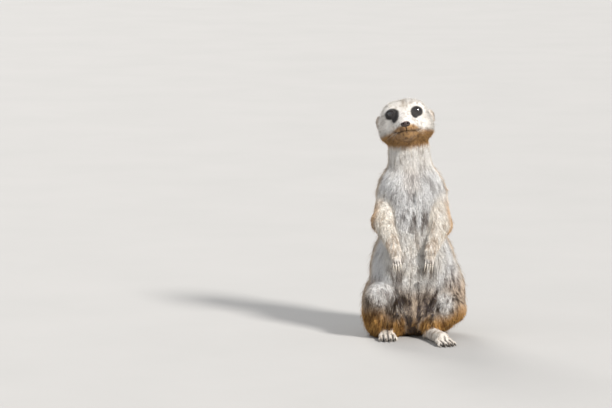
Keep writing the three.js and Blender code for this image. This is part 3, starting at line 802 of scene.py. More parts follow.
def coat_colour_group():
    """Colour of a hair or of the skin from its markings. Strand holds the place along the hair,
    a chance value of its own and a chance value of its lock."""
    tree, given, out = new_group(
        "coat_colour",
        {"Tan dark grizzle": (VECTOR, (0, 0, 0)), "Band bare cool": (VECTOR, (0, 0, 0)),
         "Strand": (VECTOR, (0.6, 0.5, 0.5)), "Root shade": (NUMBER, 0.5), "Parting": (NUMBER, 0.8)},
        {"Colour": COLOUR, "Roughness": NUMBER})
    first = add_node(tree, "ShaderNodeSeparateXYZ", {0: given["Tan dark grizzle"]}).outputs
    second = add_node(tree, "ShaderNodeSeparateXYZ", {0: given["Band bare cool"]}).outputs
    along, chance, lock = add_node(tree, "ShaderNodeSeparateXYZ", {0: given["Strand"]}).outputs
    patchy = noise(tree, 90)
    fine = noise(tree, 900, 2)
    warm = sum_of(tree, "MULTIPLY_ADD", patchy, 0.9, -0.2, clamp=True)
    warm = sum_of(tree, "MULTIPLY_ADD", chance, 0.45, warm, clamp=True)
    pale = blended(tree, warm, WHITE, CREAM)
    pale = blended(tree, second[2], pale, COOL)
    burnt = sum_of(tree, "MULTIPLY_ADD", fine, 0.8, -0.45)
    burnt = sum_of(tree, "MULTIPLY_ADD", lock, 0.5, burnt)
    gold = blended(tree, sum_of(tree, "MULTIPLY_ADD", chance, 0.5, burnt, clamp=True), GOLD, RUST)
    tip = add_node(tree, "ShaderNodeMapRange", {0: along, 1: 0.45, 2: 0.75}).outputs[0]
    agouti = blended(tree, tip, AGOUTI_DARK, AGOUTI_PALE)
    agouti = blended(tree, add_node(tree, "ShaderNodeMapRange", {0: chance, 1: 0.55, 2: 0.95}).outputs[0],
                     agouti, AGOUTI_DARK)
    colour = blended(tree, first[2], pale, agouti)
    colour = blended(tree, first[0], colour, gold)
    streak = sum_of(tree, "MULTIPLY", second[1], sum_of(tree, "MULTIPLY_ADD", lock, 1.1, 0.25), clamp=True)
    colour = blended(tree, streak, colour, THIN_HAIR)
    colour = blended(tree, sum_of(tree, "MULTIPLY", second[0], 0.85), colour, BAND_BROWN)
    colour = blended(tree, first[1], colour, SOOT)
    # Painted shade: each hair, and the skin under the coat, darkens towards the root and along the partings
    # between locks, partly the dark underfur and partly shade deep in the coat.
    shade = sum_of(tree, "SUBTRACT", 1.0, along, clamp=True)
    shade = sum_of(tree, "MULTIPLY", sum_of(tree, "POWER", shade, 1.3), given["Root shade"])
    parting_shade = add_node(tree, "ShaderNodeMapRange", {0: lock, 1: 0.45, 2: 1.0, 3: 0.0, 4: 0.85}).outputs[0]
    shade = sum_of(tree, "ADD", shade, sum_of(tree, "MULTIPLY", parting_shade, given["Parting"]), clamp=True)
    dimmed = blended(tree, 1.0, colour, blended(tree, second[2], WARM_SHADE, COOL_SHADE), "MULTIPLY")
    tree.links.new(blended(tree, shade, colour, dimmed), out["Colour"])
    tree.links.new(sum_of(tree, "MULTIPLY_ADD", fine, 0.25, 0.5), out["Roughness"])
    return tree


def pelt_relief_group():
    """Height of short flat fur and of the creases of skin under it."""
    tree, given, out = new_group("pelt_relief", {"Scale": (NUMBER, 1200.0), "Crease": (NUMBER, 0.3)},
                                 {"Height": NUMBER})
    place = add_node(tree, "ShaderNodeTexCoord").outputs["Object"]
    nap = add_node(tree, "ShaderNodeTexNoise", {"Vector": place, "Scale": given["Scale"], "Detail": 4.0})
    cells = add_node(tree, "ShaderNodeTexVoronoi", {"Vector": place, "Scale": 420.0}).outputs["Distance"]
    tree.links.new(sum_of(tree, "MULTIPLY_ADD", cells, given["Crease"], nap.outputs["Fac"]), out["Height"])
    return tree


def claw_grain_group():
    """Horn that runs from a pale root to a dark tip, with fine streaks along it."""
    tree, given, out = new_group("claw_grain", {"Along": (NUMBER, 0.5), "Darkness": (NUMBER, 0.0)},
                                 {"Colour": COLOUR, "Height": NUMBER})
    streak = noise(tree, 700, 4)
    place = sum_of(tree, "ADD", given["Along"], given["Darkness"])
    share = sum_of(tree, "MULTIPLY_ADD", streak, 0.35, place, clamp=True)
    tree.links.new(blended(tree, share, (0.62, 0.55, 0.45, 1), (0.022, 0.016, 0.013, 1)), out["Colour"])
    tree.links.new(streak, out["Height"])
    return tree


def group_node(tree, group, inputs):
    made = add_node(tree, "ShaderNodeGroup", node_tree=group)
    for key, value in inputs.items():
        if isinstance(value, bpy.types.NodeSocket):
            tree.links.new(value, made.inputs[key])
        else:
            made.inputs[key].default_value = value
    return made.outputs


def attribute(tree, name):
    return add_node(tree, "ShaderNodeAttribute", attribute_name=name).outputs["Vector"]


def finished(name, **sockets):
    """A material with one principled shader, its uniform numbers set, and its tree."""
    material = bpy.data.materials.new(name)
    material.use_nodes = True
    tree = material.node_tree
    shader = tree.nodes["Principled BSDF"]
    for key, value in sockets.items():
        shader.inputs[key.replace("_", " ")].default_value = value
    return material, tree, shader.inputs


def bumped(tree, surface, height, strength, distance):
    bump = add_node(tree, "ShaderNodeBump", {"Height": height, "Strength": strength, "Distance": distance})
    tree.links.new(bump.outputs[0], surface["Normal"])


COAT_COLOUR, PELT_RELIEF, CLAW_GRAIN = coat_colour_group(), pelt_relief_group(), claw_grain_group()


def furred(name, specular, root_shade, relief, strength, distance):
    """A material with the coat's colours and a bumped nap. Relief is the nap's scale and crease."""
    material, tree, surface = finished(name, Specular_IOR_Level=specular)
    marks = {"Tan dark grizzle": "marks_one", "Band bare cool": "marks_two", "Strand": "strand"}
    given = {socket: attribute(tree, layer) for socket, layer in marks.items()}
    made = group_node(tree, COAT_COLOUR, {**given, "Root shade": root_shade})
    tree.links.new(made["Colour"], surface["Base Color"])
    tree.links.new(made["Roughness"], surface["Roughness"])
    nap = group_node(tree, PELT_RELIEF, dict(zip(("Scale", "Crease"), relief)))
    bumped(tree, surface, nap["Height"], strength, distance)
    return material, tree, surface, made["Colour"], given["Band bare cool"]


def coat_material():
    return furred("coat", 0.12, 0.26, (2500.0, 0.0), 0.3, 0.0001)[0]


def skin_material():
    """The coat's colours once more, giving way to dark skin where the hair is thin."""
    material, tree, surface, colour, marks = furred("skin", 0.14, 0.7, (1500.0, 0.4), 0.55, 0.0004)
    bare = add_node(tree, "ShaderNodeSeparateXYZ", {0: marks}).outputs[1]
    share = sum_of(tree, "MULTIPLY_ADD", bare, 0.75, 0.06, clamp=True)
    tree.links.new(blended(tree, share, colour, BARE_SKIN), surface["Base Color"])
    return material


def nose_material():
    material, tree, surface = finished("nose_leather", Specular_IOR_Level=0.5)
    mottle = noise(tree, 500, 4)
    relief = group_node(tree, PELT_RELIEF, {"Scale": 900.0, "Crease": 1.2})
    above = add_node(tree, "ShaderNodeSeparateXYZ", {0: attribute(tree, "strand")}).outputs[0]
    dark = blended(tree, mottle, (0.028, 0.018, 0.016, 1), (0.065, 0.040, 0.034, 1))
    # the top of the nose leather is paler and pinkish: partly its own colour and partly a painted highlight
    # from the light above
    tree.links.new(blended(tree, above, dark, (0.33, 0.22, 0.19, 1)), surface["Base Color"])
    tree.links.new(sum_of(tree, "MULTIPLY_ADD", mottle, 0.3, 0.25), surface["Roughness"])
    bumped(tree, surface, relief["Height"], 0.5, 0.0003)
    return material


def eye_material():
    """Wet eye: black pupil, deep brown iris with fine spokes, and a dark rim."""
    material, tree, surface = finished("eye_wet", Coat_Weight=1.0, Coat_Roughness=0.02, Roughness=0.12)
    rings = attribute(tree, "rings")
    outward, pupil, angle = add_node(tree, "ShaderNodeSeparateXYZ", {0: rings}).outputs
    grain = add_node(tree, "ShaderNodeTexNoise", {"Vector": rings, "Scale": 9.0, "Detail": 5.0})
    spokes = grain.outputs["Fac"]
    spin = sum_of(tree, "SINE", sum_of(tree, "MULTIPLY", angle, 44.0))
    share = sum_of(tree, "MULTIPLY_ADD", spin, 0.18, spokes, clamp=True)
    iris = blended(tree, share, (0.005, 0.003, 0.003, 1), (0.018, 0.009, 0.006, 1))
    rim = add_node(tree, "ShaderNodeMapRange", {0: outward, 1: 0.82, 2: 1.0}).outputs[0]
    hole = add_node(tree, "ShaderNodeMapRange", {0: pupil, 1: 1.08, 2: 0.92}).outputs[0]
    colour = blended(tree, rim, iris, (0.010, 0.008, 0.008, 1))
    tree.links.new(blended(tree, hole, colour, (0.002, 0.002, 0.002, 1)), surface["Base Color"])
    bumped(tree, surface, spokes, 0.05, 0.0001)
    return material


def claw_material():
    material, tree, surface = finished("claw_horn", Roughness=0.35, Coat_Weight=0.2)
    along, darkness, _ = add_node(tree, "ShaderNodeSeparateXYZ", {0: attribute(tree, "strand")}).outputs
    made = group_node(tree, CLAW_GRAIN, {"Along": along, "Darkness": darkness})
    tree.links.new(made["Colour"], surface["Base Color"])
    bumped(tree, surface, made["Height"], 0.25, 0.0002)
    return material


def floor_material():
    material, tree, surface = finished("studio_floor", Roughness=0.85)
    shade = noise(tree, 6, 4)
    pale = blended(tree, shade, (0.36, 0.35, 0.335, 1), (0.40, 0.385, 0.37, 1))
    tree.links.new(pale, surface["Base Color"])
    bumped(tree, surface, noise(tree, 300, 2), 0.08, 0.0005)
    return material


# ================================================================ coat
# For each part: tufts to the square millimetre, their length and width in millimetres, their lift in degrees.
COAT = {
    "trunk": (0.85, 8.5, 0.60, 25), "head": (2.7, 4.0, 0.32, 19), "leg": (0.95, 7.8, 0.56, 24),
    "arm": (1.35, 5.2, 0.46, 24), "hand": (4.5, 1.7, 0.24, 14), "foot": (2.5, 2.2, 0.30, 15),
    "ear": (4.5, 2.4, 0.24, 22), "tail": (0.95, 7.0, 0.55, 20),
}
NAMES = list(PARTS)
LONG = 4.6                      # tufts at least this long bend in two places
PATCH = 0.003                   # size of one tuft on the coat's own map
ROOT_DEPTH = 0.25               # of a tuft under the skin
FLOOR_GAP = 0.12                # from the lowest tufts to the floor
GUARD_SHARE = 0.07              # of the longer tufts, stretched and thinned to loose guard hairs


def kind_of(name):
    return name.split("_")[0]


def coat_sizes(points, label):
    """Density, length, width and lift of the tufts at each point."""
    sizes = np.array([COAT[kind_of(name)] for name in NAMES])[label]
    density, length, width, lift = sizes.T.copy()
    z = points[:, 2]
    front = front_of(points)
    body = label == NAMES.index("trunk")
    low = front * (1 - step(36, 66, z))
    neck = step(168, 190, z)
    density = np.where(body, density * (1 + 0.25 * front + 0.4 * neck - 0.45 * low), density)
    length = np.where(body, length * (1 + 0.18 * np.exp(-((z - 122) / 18) ** 2) * front - 0.12 * front
                                      - 0.32 * neck - 0.38 * low), length)
    width = np.where(body, width * (1 - 0.22 * neck - 0.18 * front), width)
    local = in_head(points)
    _, hy, hz = local.T
    skull = label == NAMES.index("head")
    face = 1 - step(-26, -2, hy)
    snout = 1 - step(-42, -32, hy)
    cheek = step(-8, -16, hz) * step(-32, -16, hy)
    density = np.where(skull, density * (1 + 1.1 * face + 0.9 * snout), density)
    length = np.where(skull, length * (1 - 0.45 * face + 0.5 * cheek * face - 0.22 * snout), length)
    width = np.where(skull, width * (1 - 0.36 * face - 0.1 * snout), width)
    lift = np.where(skull, lift * (1 - 0.4 * face), lift)
    to_eyes = [np.linalg.norm(local * (sign, 1, 1) - np.array(EYE), axis=1) for sign in SIDES.values()]
    near_eye = skull * (1 - step(6.5, 10, np.min(to_eyes, axis=0)))
    length = length * (1 - 0.45 * near_eye)
    density = density * (1 + 0.5 * near_eye)
    for name, joints in LEGS.items():
        leg = label == NAMES.index(f"leg_{name}")
        knee = blot(points, np.array(joints["knee"]) + (0, -8, 6), (17, 22, 18), 0.4)
        length = np.where(leg, length * (1 - 0.35 * knee), length)
        density = np.where(leg, density * (1 + 0.3 * knee), density)
    return density, length, width, lift


def lie_of_coat(points, apart):
    """The way the hair points, blended between the parts that a point is near. apart holds the distances."""
    x, y, z = points.T
    zero = np.zeros(len(points))
    weights = np.exp(-(apart - apart.min(axis=1, keepdims=True)) / 2.5)
    total = np.zeros_like(points)
    off_middle, front = x - MIDLINE[0], front_of(points)
    inward = -0.55 * np.sign(off_middle) * step(2, 14, np.abs(off_middle)) * (1 - step(40, 84, z)) * front
    behind = (1 - front) * (0.15 + 0.9 * (1 - step(8, 46, z)))
    for i, name in enumerate(NAMES):
        kind, side = kind_of(name), name.split("_")[-1]
        if kind == "trunk":
            way = np.stack([inward, behind, zero - 1], axis=1)
        elif kind == "head":
            local = in_head(points)
            from_nose = unit(local - np.array([0, -54, -9]))
            way = (from_nose + (0, 0.35, -0.1)) @ HEAD_TURN.T
        elif kind == "ear":
            way = unit(points - on_head((20, 0, -4), SIDES[side])) + (0, 0.6, 0)
        elif kind == "arm":
            joints = {key: np.array(value, float) for key, value in ARMS[side].items()}
            upper, lower = unit(joints["elbow"] - joints["shoulder"]), unit(joints["wrist"] - joints["elbow"])
            way = mix(lower, upper, step(110, 132, z)[:, None])
            way = way + np.array([0.35 * SIDES[side], 0.1, 0])
        elif kind == "hand":
            way = np.tile(hand_frame(ARMS[side])[3], (len(points), 1))
        elif kind == "foot":
            way = np.tile(foot_frame(LEGS[side])[2] + (0, 0, -0.25), (len(points), 1))
        elif kind == "leg":
            sideways = 0.25 * SIDES[side] * step(40, 10, z)
            way = np.stack([sideways + zero, 0.25 - 0.8 * front * step(20, 50, z), zero - 1], axis=1)
        else:
            way = np.stack([np.interp(y, [30, 100, 160, 215], [0.1, 0.08, -0.1, -0.5]), zero + 1,
                            -0.25 * (1 - step(30, 70, y))], axis=1)
        total += weights[:, i:i + 1] * unit(way)
    return unit(total)


def locks(points, size):
    """Middle of the lock that each tuft belongs to, and a chance value for that lock."""
    cells = np.floor(points / size)
    middle = (cells + 0.5 + 0.5 * (np.stack([chance(cells, n) for n in range(3)], axis=1) - 0.5)) * size
    return middle, chance(cells, 7)


def strands(tufts, rings):
    """Closed, pointed, flattened tufts, from a table of them. Returns the points and triangles of all,
    and for one tuft the place along the hair and on its patch of the map."""
    roots, normals = tufts["roots"], tufts["upright"]
    length, width = tufts["length"][:, None], tufts["width"][:, None]
    ways = tufts["ways"] - normals * (tufts["ways"] * normals).sum(axis=1, keepdims=True)
    ways = unit(ways)
    rise = np.radians(tufts["lift"])[:, None]
    begin = ways * np.cos(rise) + normals * np.sin(rise)
    end = unit(ways * np.cos(rise * 0.3) + normals * np.sin(rise * 0.3 - 0.08) + tufts["pull"])
    across = unit(np.cross(normals, ways))
    over = np.cross(ways, across)
    ring_share = np.linspace(0, 1, rings + 2)[:-1]
    points = []
    for share in ring_share:
        centre = roots - normals * ROOT_DEPTH + length * (begin * share + (end - begin) * share**2 / 2)
        half = 0.5 * width * (0.75 + 0.9 * share - 1.5 * share**2)
        for angle in (math.pi * 7 / 6, math.pi / 2, -math.pi / 6):
            points.append(centre + half * (across * math.cos(angle) + over * (0.55 * math.sin(angle))))
    points.append(roots - normals * ROOT_DEPTH + length * (begin + end) / 2)
    faces = [(0, 1, 2)]
    for ring in range(rings):
        low, high = 3 * ring, 3 * ring + 3
        for j in range(3):
            k = (j + 1) % 3
            faces += [(low + j, high + j, low + k), (low + k, high + j, high + k)]
    top = 3 * rings
    faces += [(top + j, top + 3, top + (j + 1) % 3) for j in range(3)]
    count = len(points)
    points = np.stack(points, axis=1)
    points[:, :, 2] = np.maximum(points[:, :, 2], FLOOR_GAP)
    triangles = np.array(faces)[None] + (np.arange(len(roots)) * count)[:, None, None]
    along = np.append(np.repeat(ring_share, 3), 1.0)
    layout = np.stack([np.append(np.tile([0.0, 0.5, 1.0], rings + 1), 0.5),
                       np.append(np.repeat(ring_share * 0.9, 3), 1.0)], axis=1)
    layout[1:-1:3, 1] += 0.12
    return points.reshape(-1, 3), triangles.reshape(-1, 3), along, layout


def chart(name, roots, normals):
    """Where each root lies on its part's own unwrap, from 0 to 1 both ways."""
    x, y, z = roots.T
    kind, side = kind_of(name), name.split("_")[-1]
    if kind == "head":
        hx, hy, hz = in_head(roots).T
        flat = np.stack([np.arctan2(hx, -hy), np.arctan2(hz + 4, np.hypot(hx, hy))], axis=1)
    elif kind == "ear":
        facing = (normals @ HEAD_TURN)[:, 1] < 0
        hx, hy, hz = in_head(roots).T
        flat = np.stack([np.hypot(hx * SIDES[side] - 20, hy) + 14 * facing, hz], axis=1)
    elif kind == "tail":
        middle = np.array([at for at, _ in TAIL], float)
        cx, cz = np.interp(y, middle[:, 1], middle[:, 0]), np.interp(y, middle[:, 1], middle[:, 2])
        flat = np.stack([np.arctan2(x - cx, cz - z), y], axis=1)
    elif kind == "foot":
        _, ball, forward, across = foot_frame(LEGS[side])
        offset = roots - ball
        flat = np.stack([np.arctan2(offset @ across, offset[:, 2]), offset @ forward], axis=1)
    else:
        if kind == "leg":
            cx, cy = LEGS[side]["haunch"][0][:2]
        elif kind in ("arm", "hand"):
            line = np.array([ARMS[side][key] for key in ("knuckles", "wrist", "elbow", "shoulder")], float)
            cx, cy = np.interp(z, line[:, 2], line[:, 0]), np.interp(z, line[:, 2], line[:, 1])
        else:
            cx, cy = MIDLINE
        flat = np.stack([np.arctan2(x - cx, cy - y), z], axis=1)
    low, high = flat.min(axis=0), flat.max(axis=0)
    return 0.004 + (flat - low) / (high - low) * 0.989


def coat_piece_name(name, points):
    """The coat piece of each tuft of a part."""
    if name == "trunk":
        front = front_of(points) > 0.5
        below = np.where(points[:, 2] > 98, "coat_chest", "coat_belly")
        behind = np.where(points[:, 2] > 98, "coat_withers", "coat_back")
        return np.where(points[:, 2] > 174, "coat_neck", np.where(front, below, behind))
    if name == "head":
        hx, hy, hz = in_head(points).T
        lower = np.where(hz > -3, "coat_brow", np.where(hx > 0, "coat_cheek_left", "coat_cheek_right"))
        lower = np.where(hy < -27, "coat_muzzle", lower)
        return np.where(hy < -10, lower, np.where(hz > -2, "coat_crown", "coat_jowl"))
    return np.full(len(points), f"coat_{name}")


def sown(points, quads, normals):
    """Roots spread over the skin by the coat's density: place, normal and part of each."""
    triangles = np.concatenate([quads[:, [0, 1, 2]], quads[:, [0, 2, 3]]])
    corner = points[triangles]
    area = np.linalg.norm(np.cross(corner[:, 1] - corner[:, 0], corner[:, 2] - corner[:, 0]), axis=1) / 2
    middle = corner.mean(axis=1)
    apart = np.stack([PARTS[name].at(middle, 30) for name in NAMES], axis=1)
    label = apart.argmin(axis=1)
    density = coat_sizes(middle, label)[0]
    running = np.cumsum(area * density)
    random = np.random.default_rng(SEED)
    count = int(running[-1])
    picked = np.searchsorted(running, np.arange(count) + random.random(count))
    picked = np.minimum(picked, len(triangles) - 1)
    r1, r2 = np.sqrt(random.random(count)), random.random(count)
    shares = np.stack([1 - r1, r1 * (1 - r2), r1 * r2], axis=1)[:, :, None]
    roots = (corner[picked] * shares).sum(axis=1)
    upright = unit((normals[triangles[picked]] * shares).sum(axis=1))
    return roots, upright, label[picked], apart[picked]


def bare_places(roots):
    """True where no hair grows: between the lids, in the ear, on the nose and under the soles."""
    bare = roots[:, 2] < 0.6
    for side in SIDES.values():
        centre, axes = eye_frame(side)
        local = (roots - centre) @ axes
        bare |= (np.linalg.norm(local[:, :2] / (4.7, 3.7), axis=1) < 1) & (local[:, 2] > 1)
        cup = in_head(roots) * (side, 1, 1) - np.array(CONCHA)
        bare |= np.linalg.norm(cup / (2.6, 3.4, 3.6), axis=1) < 1
    nose = in_head(roots) - np.array(NOSE)
    bare |= np.linalg.norm(nose / (4.6, 4.2, 3.9), axis=1) < 1
    return bare


def tuft_table(points, quads, normals):
    """Every tuft of the coat, one row of each array to a tuft: place, way, size, chance and markings."""
    roots, upright, label, apart = sown(points, quads, normals)
    keep = ~bare_places(roots)
    roots, upright, label, apart = roots[keep], upright[keep], label[keep], apart[keep]
    random = np.random.default_rng(SEED + 1)
    count = len(roots)
    _, length, width, lift = coat_sizes(roots, label)
    ways = lie_of_coat(roots, apart)
    wobble = random.normal(0, 1, (count, 3))
    ways = unit(ways + 0.16 * wobble + 0.10 * np.stack([wave(roots, 5, n) for n in (0, 2, 4)], axis=1))
    middle, lock = locks(roots + 0.4 * wobble, np.clip(length * 0.62, 1.4, 5.5)[:, None])
    pull = (middle - roots) / length[:, None] * 0.55
    length = length * random.uniform(0.72, 1.18, count)
    lift = lift + random.normal(0, 5, count)
    on_paw = np.isin(label, [i for i, name in enumerate(NAMES) if kind_of(name) in ("hand", "foot")])
    lock = (0.45 * lock + 0.75 * streaks(roots) - 0.1) * np.where(on_paw, 0.6, 1)
    guard = (random.random(count) < GUARD_SHARE) & (length > 2.6)
    length = np.where(guard, length * 1.3 + 1.2, length)
    lift = np.where(guard, lift + 20, lift)
    width = np.where(guard, width * 0.5, width * random.uniform(0.8, 1.2, count))
    own = random.random(count)
    one, two = markings(roots)
    return {"roots": roots, "upright": upright, "ways": ways, "length": length, "width": width, "lift": lift,
            "pull": pull, "own": own, "lock": lock, "one": one, "two": two, "label": label}


def coat(tufts, material):
    """The tufts as one object for each region."""
    label = tufts["label"]
    names = np.empty(len(label), dtype="U24")
    for i, name in enumerate(NAMES):
        names[label == i] = coat_piece_name(name, tufts["roots"][label == i])
    for piece in np.unique(names):
        parts = []
        for long in (False, True):
            chosen = (names == piece) & ((tufts["length"] >= LONG) == long)
            if chosen.any():
                parts.append(grown({key: rows[chosen] for key, rows in tufts.items()}, 2 if long else 1))
        coat_object(piece, parts, material)


def grown(tufts, rings):
    """Arrays of the points, triangles, markings and map of a table of tufts with that many bends."""
    made, triangles, along, layout = strands(tufts, rings)
    each = len(along)
    strand = np.stack([np.tile(along, len(tufts["own"])), np.repeat(tufts["own"], each),
                       np.repeat(tufts["lock"], each)], axis=1)
    return {"points": made, "triangles": triangles, "layout": layout, "strand": strand,
            "one": np.repeat(tufts["one"], each, axis=0), "two": np.repeat(tufts["two"], each, axis=0),
            "roots": tufts["roots"], "upright": tufts["upright"], "part": NAMES[tufts["label"][0]]}


def coat_object(name, parts, material):
    """One coat piece, with each tuft a small patch at its root's place on the OFBake map."""
    whole = {key: np.concatenate([part[key] for part in parts])
             for key in ("roots", "upright", "points", "one", "two", "strand")}
    charts = chart(parts[0]["part"], whole["roots"], whole["upright"])
    uv, triangles, start, first = [], [], 0, 0
    for part in parts:
        tufts = len(part["roots"])
        at = charts[first:first + tufts]
        uv.append((at[:, None, :] + (part["layout"][None] - 0.5) * PATCH).reshape(-1, 2))
        triangles.append(part["triangles"] + start)
        start += len(part["points"])
        first += tufts
    marks = {"marks_one": whole["one"], "marks_two": whole["two"], "strand": whole["strand"]}
    made = mesh_object(name, whole["points"], np.concatenate(triangles), material, marks, np.concatenate(uv))
    return made


# ================================================================ eyes, nose, claws and whiskers
def rounded(rows, columns, place):
    """A closed round surface: place(down, around) gives its points, down running from 0 to pi."""
    down = np.linspace(0, math.pi, rows + 1)[1:-1]
    around = np.arange(columns) * 2 * math.pi / columns
    d, a = np.meshgrid(down, around, indexing="ij")
    points = np.concatenate([place(d.ravel(), a.ravel()), place(np.array([0.0]), np.array([0.0])),
                             place(np.array([math.pi]), np.array([0.0]))])
    top, bottom = len(points) - 2, len(points) - 1
    faces = []
    for j in range(columns):
        k = (j + 1) % columns
        faces.append((top, j, k))
        faces.append((bottom, (rows - 2) * columns + k, (rows - 2) * columns + j))
        for i in range(rows - 2):
            low, high = i * columns, (i + 1) * columns
            faces += [(low + j, high + j, high + k), (low + j, high + k, low + k)]
    return points, np.array(faces)


def eyeball(name, side, material):
    """Globe with the bulge of its cornea. Rings hold the way out from the pupil, the pupil and the angle."""
    centre, axes = eye_frame(side)

    def place(down, around):
        bulge = 0.35 * np.exp(-(down / 0.5) ** 4)
        radius = EYE_RADIUS + bulge
        local = np.stack([np.sin(down) * np.cos(around), np.sin(down) * np.sin(around), np.cos(down)], axis=1)
        return centre + (local * radius[:, None]) @ axes.T

    points, faces = rounded(40, 48, place)
    local = unit((points - centre) @ axes)
    angle = np.arctan2(local[:, 1], local[:, 0])
    outward = np.arccos(np.clip(local[:, 2], -1, 1)) / 0.72
    pupil = np.hypot(local[:, 0] / 0.36, local[:, 1] / 0.22)
    rings = np.stack([outward, pupil, angle], axis=1)
    made = mesh_object(f"eyeball_{name}", points, faces, material, {"rings": rings})
    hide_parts(f"eye_{name}")


def nose_pad(material):
    """Leather of the nose, with two nostrils that run out into slits at the sides."""
    pad = melt(1.6, head_egg((NOSE, (4.2, 3.5, 2.8))), head_egg(((0, -45.2, -11.8), (1.7, 2.9, 2.2))),
               *pair(lambda s: head_egg(((2.3, -47.4, -9.9), (2.4, 2.5, 2.3)), s)))
    holes = pair(lambda s: head_egg(((2.1, -50.4, -9.6), (1.15, 2.4, 1.0)), s))
    slits = pair(lambda s: head_taper(((2.4, -50.6, -9.9), 0.75, (4.9, -47.8, -10.9), 0.4), s))
    seam = head_egg(((0, -51.2, -11.6), (0.35, 1.5, 2.6)))
    form = carve(pad, 0.5, *holes, *slits, seam)
    lines = [np.arange(low, high, 0.36) for low, high in zip(pad.low - 1, pad.high + 1)]
    points, quads = wrapped(form.distance, lines)
    points, _ = onto(form.distance, points)
    local = in_head(points)
    # above is 1 on the top of the nose, where the leather is painted paler, partly a painted highlight
    above = step(-8.4, -6.6, local[:, 2])
    strand = np.stack([above, above, above], axis=1)
    made = mesh_object("nose_pad", points, quads, material, {"strand": strand})
    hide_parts("nose")


def claw_mesh(root, tip, bow, radius):
    """A curved horn, deeper than wide, with a groove below."""
    rings, around = 12, 12
    share = np.linspace(0, 1, rings + 1)[:, None]
    root, tip = np.array(root, float), np.array(tip, float)
    middle = (root + tip) / 2 + np.array(bow) * radius * 0.9
    centre = (1 - share) ** 2 * root + 2 * share * (1 - share) * middle + share**2 * tip
    ways = unit(np.gradient(centre, axis=0))
    across = unit(np.cross(ways, np.array(bow)))
    over = np.cross(across, ways)
    thickness = radius * np.sqrt(np.maximum(1 - 0.97 * share, 0.02))
    points = []
    for angle in np.arange(around) * 2 * math.pi / around:
        groove = 1 - 0.35 * math.exp(-((math.sin(angle) + 1) / 0.25) ** 2)
        spoke = across * (0.72 * math.cos(angle)) + over * math.sin(angle)
        points.append(centre + thickness * groove * spoke)
    points = np.stack(points, axis=1).reshape(-1, 3)
    points = np.concatenate([points, centre[:1], centre[-1:] + ways[-1:] * radius * 0.15])
    faces = []
    for j in range(around):
        k = (j + 1) % around
        faces.append((len(points) - 2, k, j))
        faces.append((len(points) - 1, rings * around + j, rings * around + k))
        for i in range(rings):
            low, high = i * around, (i + 1) * around
            faces += [(low + j, low + k, high + k), (low + j, high + k, high + j)]
    along = np.append(np.repeat(share[:, 0], around), [0, 1])
    return points, np.array(faces), along


def claws(material):
    for name in SIDES:
        outward = hand_frame(ARMS[name])[2]
        sets = {"hand": [(tip - outward * 0.2, claw, outward, 0.85) for _, tip, claw in fingers(ARMS[name])],
                "foot": [(root, tip, (0, 0, 1), 1.3) for _, _, root, tip in toes(LEGS[name])]}
        for limb, horns in sets.items():
            for i, (root, tip, bow, radius) in enumerate(horns):
                back = unit(np.array(root) - np.array(tip)) * 1.4
                points, faces, along = claw_mesh(root + back, tip, bow, radius)
                points[:, 2] = np.maximum(points[:, 2], 0.1)
                pale = limb == "hand"
                horn = np.stack([along * 0.9, np.full(len(along), -0.35 if pale else 0.2), along], axis=1)
                made = mesh_object(f"horn_{limb}_{name}_{i + 1}", points, faces, material, {"strand": horn})
                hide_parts(f"claw_{limb}_{name}_{i + 1}")


def whiskers(material):
    """Long fine hairs of the lips, brows and cheeks."""
    random = np.random.default_rng(SEED + 2)
    roots, ways, length = [], [], []
    for side in SIDES.values():
        for row in range(3):
            for i in range(6):
                way = np.array([side, 0.35 + 0.1 * i, -0.25 * row + 0.1])
                roots.append(on_head((5.6 + 0.9 * i, -40 + 2.6 * i, -11.4 - 1.5 * row), side))
                ways.append(HEAD_TURN @ (way + random.normal(0, 0.12, 3)))
                length.append(random.uniform(11, 19))
        for i in range(4):
            roots.append(on_head((9 + 1.6 * i, -19.5, 13.5 - 0.6 * i), side))
            ways.append(HEAD_TURN @ (np.array([0.5 * side, -0.4, 0.9]) + random.normal(0, 0.15, 3)))
            length.append(random.uniform(6, 10))
        for i in range(5):
            roots.append(on_head((24, -14 + 2 * i, -6 - 2 * i), side))
            ways.append(HEAD_TURN @ (np.array([side, -0.1, 0.1]) + random.normal(0, 0.2, 3)))
            length.append(random.uniform(8, 15))
    roots, slope = onto(head.distance, np.array(roots), 3)
    roots = roots - slope * 1.5
    count = len(roots)
    own = random.random(count)
    pale = random.random(count) > 0.35
    part = grown({"roots": roots, "upright": slope, "ways": np.array(ways), "length": np.array(length),
                  "width": np.full(count, 0.22), "lift": np.full(count, 42.0),
                  "pull": np.tile([0, 0, -0.25], (count, 1)), "own": own, "lock": own,
                  "one": np.stack([0.25 * pale, 0.55 * ~pale, 0 * own], axis=1), "two": np.zeros((count, 3)),
                  "label": np.full(count, NAMES.index("head"))}, 6)
    coat_object("coat_whiskers", [part], material)


# ================================================================ studio
LENS, SENSOR = 169.4, 36         # millimetres
CAMERA_AIM, CAMERA_DISTANCE, CAMERA_RISE = (-0.1125, 0, 0.1368), 3.0, math.radians(8)
LAMPS = {                       # the way each comes from, its strength, softness in degrees and colour
    "key": ((1.05, -1.1, 1.1), 5.3, 11, (1.0, 0.985, 0.96)),
    "fill": ((-1.3, -1.0, 0.5), 0.9, 100, (0.88, 0.94, 1.0)),
    "rim": ((-0.5, 1.2, 0.9), 1.9, 30, (1.0, 0.98, 0.95)),
}


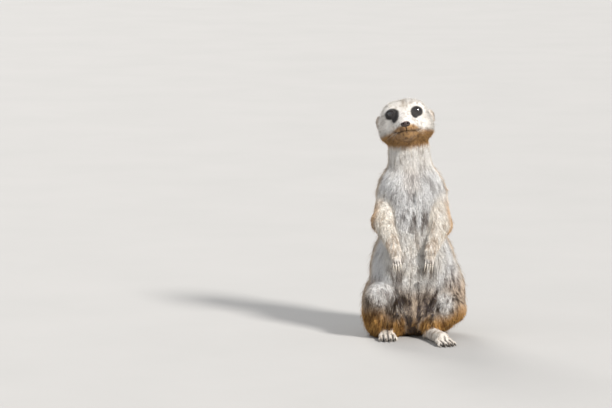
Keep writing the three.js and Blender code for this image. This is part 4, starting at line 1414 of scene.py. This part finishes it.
def lamp(name, place, strength, softness, colour):
    """A broad even light that comes from the side of that place. Softness is its width in degrees."""
    data = bpy.data.lights.new(name, "SUN")
    data.energy, data.angle, data.color = strength, math.radians(softness), colour
    light = bpy.data.objects.new(name, data)
    light.rotation_euler = (-Vector(place)).to_track_quat("-Z", "Y").to_euler()
    bpy.context.scene.collection.objects.link(light)


def studio():
    """A pale floor, soft light and a long lens a little above the animal's middle."""
    half = 6.0
    corners = np.array([(-half, -half, 0), (half, -half, 0), (half, half, 0), (-half, half, 0)]) / MM
    ground = mesh_object("floor", corners, np.array([[0, 1, 2, 3]]), floor_material())
    ground.parent = None
    for name, settings in LAMPS.items():
        lamp(name, *settings)
    world = bpy.data.worlds.new("studio")
    bpy.context.scene.world = world
    world.use_nodes = True
    sky = world.node_tree.nodes["Background"].inputs
    sky["Color"].default_value, sky["Strength"].default_value = (0.90, 0.94, 1.0, 1), 0.5
    lens = bpy.data.cameras.new("camera")
    lens.lens, lens.sensor_width = LENS, SENSOR
    camera = bpy.data.objects.new("camera", lens)
    aim = Vector(CAMERA_AIM)
    camera.location = aim + CAMERA_DISTANCE * Vector((0, -math.cos(CAMERA_RISE), math.sin(CAMERA_RISE)))
    camera.rotation_euler = (aim - camera.location).to_track_quat("-Z", "Y").to_euler()
    bpy.context.scene.collection.objects.link(camera)
    bpy.context.scene.camera = camera
    bpy.context.scene.view_settings.view_transform = "Standard"


def build():
    points, quads = wrapped(skin_distance, [grid_lines(runs) for runs in GRID])
    points, normals = onto(skin_distance, points)
    one, two = markings(points)
    # the skin takes the colour of the middle of a hair, so root shade darkens it: painted shade under the
    # coat, a little less on the head
    along = np.where(points[:, 2] > 200, 0.56, 0.5)
    strand = np.stack([along, np.full(len(points), 0.5), streaks(points)], axis=1)
    marks = {"marks_one": one, "marks_two": two, "strand": strand}
    skin = mesh_object("skin", points, quads, skin_material(), marks)
    apart = ("eye_", "nose", "claw_")
    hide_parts(*[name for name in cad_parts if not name.startswith(apart)])
    hair = coat_material()
    coat(tuft_table(points, quads, normals), hair)
    whiskers(hair)
    wet = eye_material()
    for name, side in SIDES.items():
        eyeball(name, side, wet)
    nose_pad(nose_material())
    claws(claw_material())


build()
studio()
